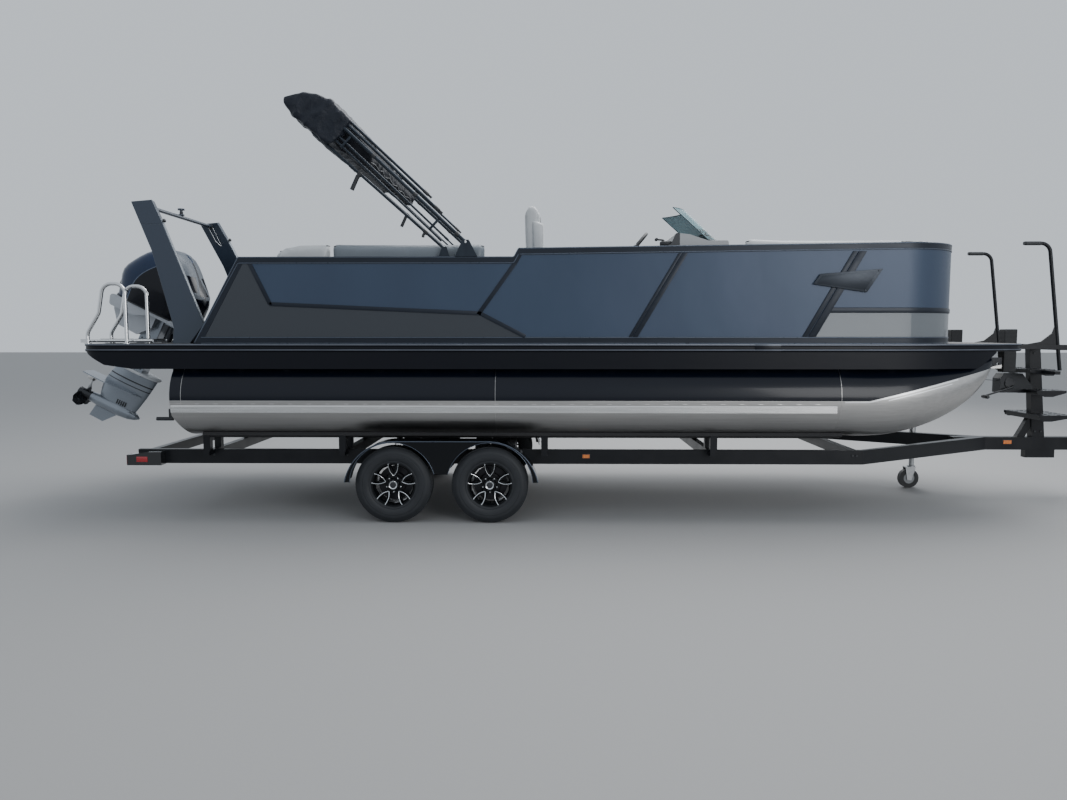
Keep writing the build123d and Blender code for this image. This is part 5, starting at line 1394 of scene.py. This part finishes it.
# Fenders. Gloss black pressed sheet over both wheels of a side, with a rolled outer edge, a bead
# along each arch and bolted stays.
fender_finish = Finish("fender_gloss", (0.003, 0.004, 0.006), 0.10, Specular_IOR_Level=0.25)
fender_finish.worn(12, 0.08, 0.12)
wear("fenders", fender_finish)
FENDER_AFT, FENDER_FRONT, FENDER_R = (-1.783, 0.275), (-0.976, 0.275), 0.438
route = arc(FENDER_AFT, FENDER_R, 168.8, 90, 24) + arc(FENDER_FRONT, FENDER_R, 90, 11.2, 24)
rolled = pipe([(x, 1.2865, z) for x, z in route], 0.0045)
arches = [arc((-1.797, TYRE_RADIUS), 0.3735, 175, 16, 20),
          arc((-0.962, TYRE_RADIUS), 0.3735, 164, 5, 20)]
inner_arch = [pipe([(x, 1.2895, z) for x, z in line], 0.0026, sides=2) for line in arches]
fender_bolts = studs([(x, 0.9965, 0.53) for x in (-1.405, -1.355)], (0, 0.0075, 0), 0.010, 0.002, 6)
# Painted highlights: the rolled edge and the arch beads wear the lighter bead colour instead of the
# fender's gloss black.
piece("fender_edges", twins(join(rolled, *inner_arch)), bead_finish)
piece("fender_bolts", twins(join(*fender_bolts)), trim_finish)

# Steps and winch stand. Raised anti-slip bars on each tread, bolts at the stand's foot, and end
# plugs and grip sleeves on the walk-up handrails.
grip_bars = []
for aft, front, top_z in ((4.180, 4.420, 1.290), (4.256, 4.540, 1.085), (4.290, 4.620, 0.845)):
    for n in range(9):
        for m in range(4):
            x = aft + 0.03 + (front - aft - 0.06) * m / 3
            y = -0.26 + 0.065 * n
            if x + 0.02 > 4.31 and x - 0.02 < 4.52 and abs(y) < 0.075:      # the post is there
                continue
            stud = bar((-0.016, 0.016), (-0.0028, 0.0028), (0, 0.003), 0.0008)
            slant = turn(45 if (n + m) % 2 else -45, "Z")
            grip_bars.append(moved(stud, shift(x, y, top_z - 0.0002) @ slant))
piece("step_treads", join(*grip_bars), coat_finish)
sleeves = [pipe([(3.96, y, 2.468), (4.10, y, 2.468)], 0.0192, sides=5) for y in (-0.49, 0.49)]
plugs = [disc((3.9475, y, 2.468), (3.956, y, 2.468), 0.0175, 0.003) for y in (-0.49, 0.49)]
stand_bolts = [disc((x, s * 0.0395, z), (x, s * 0.048, z), 0.011, 0.002, 6) for s in (-1, 1)
               for x, z in ((4.41, 0.66), (4.47, 0.66), (4.40, 1.50), (4.365, 1.44))]
piece("step_grips_and_bolts", join(*sleeves, *plugs, *stand_bolts), trim_finish)
pad_rubber = Finish("bow_pad_rubber", (0.014, 0.015, 0.017), 0.7).worn(60, 0.2, 0.6)
pad_rubber.bump(abs((pad_rubber.axes()[2] * 260).wave()), 0.0015)
wear("bow_pads", pad_rubber)

# Winch. Black drum housing with bolted gear covers, a webbing strap with a red hook on the bow
# eye's ring, and a crank with a turned grip.
winch_finish = Finish("winch_black", (0.016, 0.018, 0.021), 0.34, Metallic=0.4)
x, y, _ = winch_finish.axes()
strap_area = (x < 4.028) * (abs(y) < 0.027)
thread = ((x * 1800).wave() * (y * 1600).wave()) * 0.5 + 0.5
winch_finish.colour(winch_finish.mix(strap_area, (0.016, 0.018, 0.021), (0.030, 0.032, 0.036)))
winch_finish.rough(strap_area * 0.4 + 0.32)
winch_finish.bump(strap_area * thread, 0.0008)
wear("winch", winch_finish)
DRUM_X, DRUM_Z = 4.12, 1.145
covers = []
for s in (-1, 1):
    covers += studs([(DRUM_X, s * 0.0695, DRUM_Z)], (0, s * 0.0095, 0), 0.050, 0.004, 32)
    covers += studs([(DRUM_X + 0.038 * cos(a), s * 0.0785, DRUM_Z + 0.038 * sin(a))
                     for a in (0.5, 1.75, 3.0, 4.25, 5.5)], (0, s * 0.0045, 0), 0.006, 0.001, 6)
GRIP = [(0, 0.0), (0, 0.017), (0.010, 0.019), (0.030, 0.0175), (0.055, 0.0185), (0.078, 0.0175),
        (0.086, 0.014), (0.088, 0.0)]
covers.append(lathe(GRIP, (3.850, -0.110, 1.015), (0, -1, 0), 24))
covers.append(disc((3.850, -0.088, 1.015), (3.850, -0.112, 1.015), 0.0155, 0.003, 6))
piece("winch_covers_and_grip", join(*covers), trim_finish)
red = Finish("hook_red", (0.35, 0.03, 0.02), 0.4, Metallic=0.2).worn(80, 0.2, 0.3)
HOOK = [(3.482, 1.199), (3.440, 1.184), (3.412, 1.188), (3.405, 1.205), (3.425, 1.222),
        (3.470, 1.208)]
snap = pipe([(x, 0, z) for x, z in HOOK], 0.0065, 0.014)
piece("strap_hook", join(snap, bar((3.470, 3.490), (-0.028, 0.028), (1.190, 1.212), 0.003)), red)

# Coupler and jack. The black coupler has a latch lever, a pin and a tongue plate; the galvanised
# jack has a crank with a black grip and stands on a black caster with a grey hub.
LATCH = [(5.030, 0.582), (5.140, 0.582), (5.165, 0.600), (5.120, 0.612), (5.035, 0.602)]
pin = disc((5.075, -0.052, 0.560), (5.075, 0.052, 0.560), 0.006, 0.002, 12)
coupler_bolts = [disc((x, s * 0.042, 0.545), (x, s * 0.0485, 0.545), 0.010, 0.002, 6)
                 for s in (-1, 1) for x in (4.95, 5.01)]
latch = prism("XZ", LATCH, -0.018, 0.018, 0.003)
piece("coupler_latch", join(latch, pin, *coupler_bolts), steel)
zinc = Finish("galvanised", (0.42, 0.43, 0.44), 0.42, Metallic=0.8)
zinc.worn(40, 0.25, 0.30, (0.34, 0.35, 0.36), (0.58, 0.59, 0.60))
wear("jack_post", zinc)
wear("jack_fork", zinc)
caster_finish = Finish("caster", (0.02, 0.02, 0.022), 0.5)
x, _, z = caster_finish.axes()
x, z = x - 3.383, z - 0.1015
radial = x * x + z * z
hub_area = radial < 0.0031
caster_finish.colour(caster_finish.mix(hub_area, (0.018, 0.019, 0.021), (0.24, 0.25, 0.26)))
caster_finish.rough(hub_area * -0.15 + 0.55)
caster_finish.bump((abs(radial - 0.0046) < 0.0005) * -1.0, 0.003)
wear("jack_wheel", caster_finish)
CRANK_GRIP = [(0, 0.0), (0, 0.0155), (0.012, 0.017), (0.045, 0.0155), (0.060, 0.017),
              (0.068, 0.013), (0.069, 0)]
crank_nut = disc((3.413, 0.428, 0.9245), (3.413, 0.428, 0.938), 0.012, 0.003, 6)
crank = join(lathe(CRANK_GRIP, (3.253, 0.428, 0.921), steps=20), crank_nut)
piece("jack_crank_grip", crank, trim_finish)
rings = [lathe(ridge(z, 0.006, 0.0322, 0.0355), (3.413, 0.428, 0)) for z in (0.345, 0.89)]
piece("jack_collars", join(*rings), zinc)
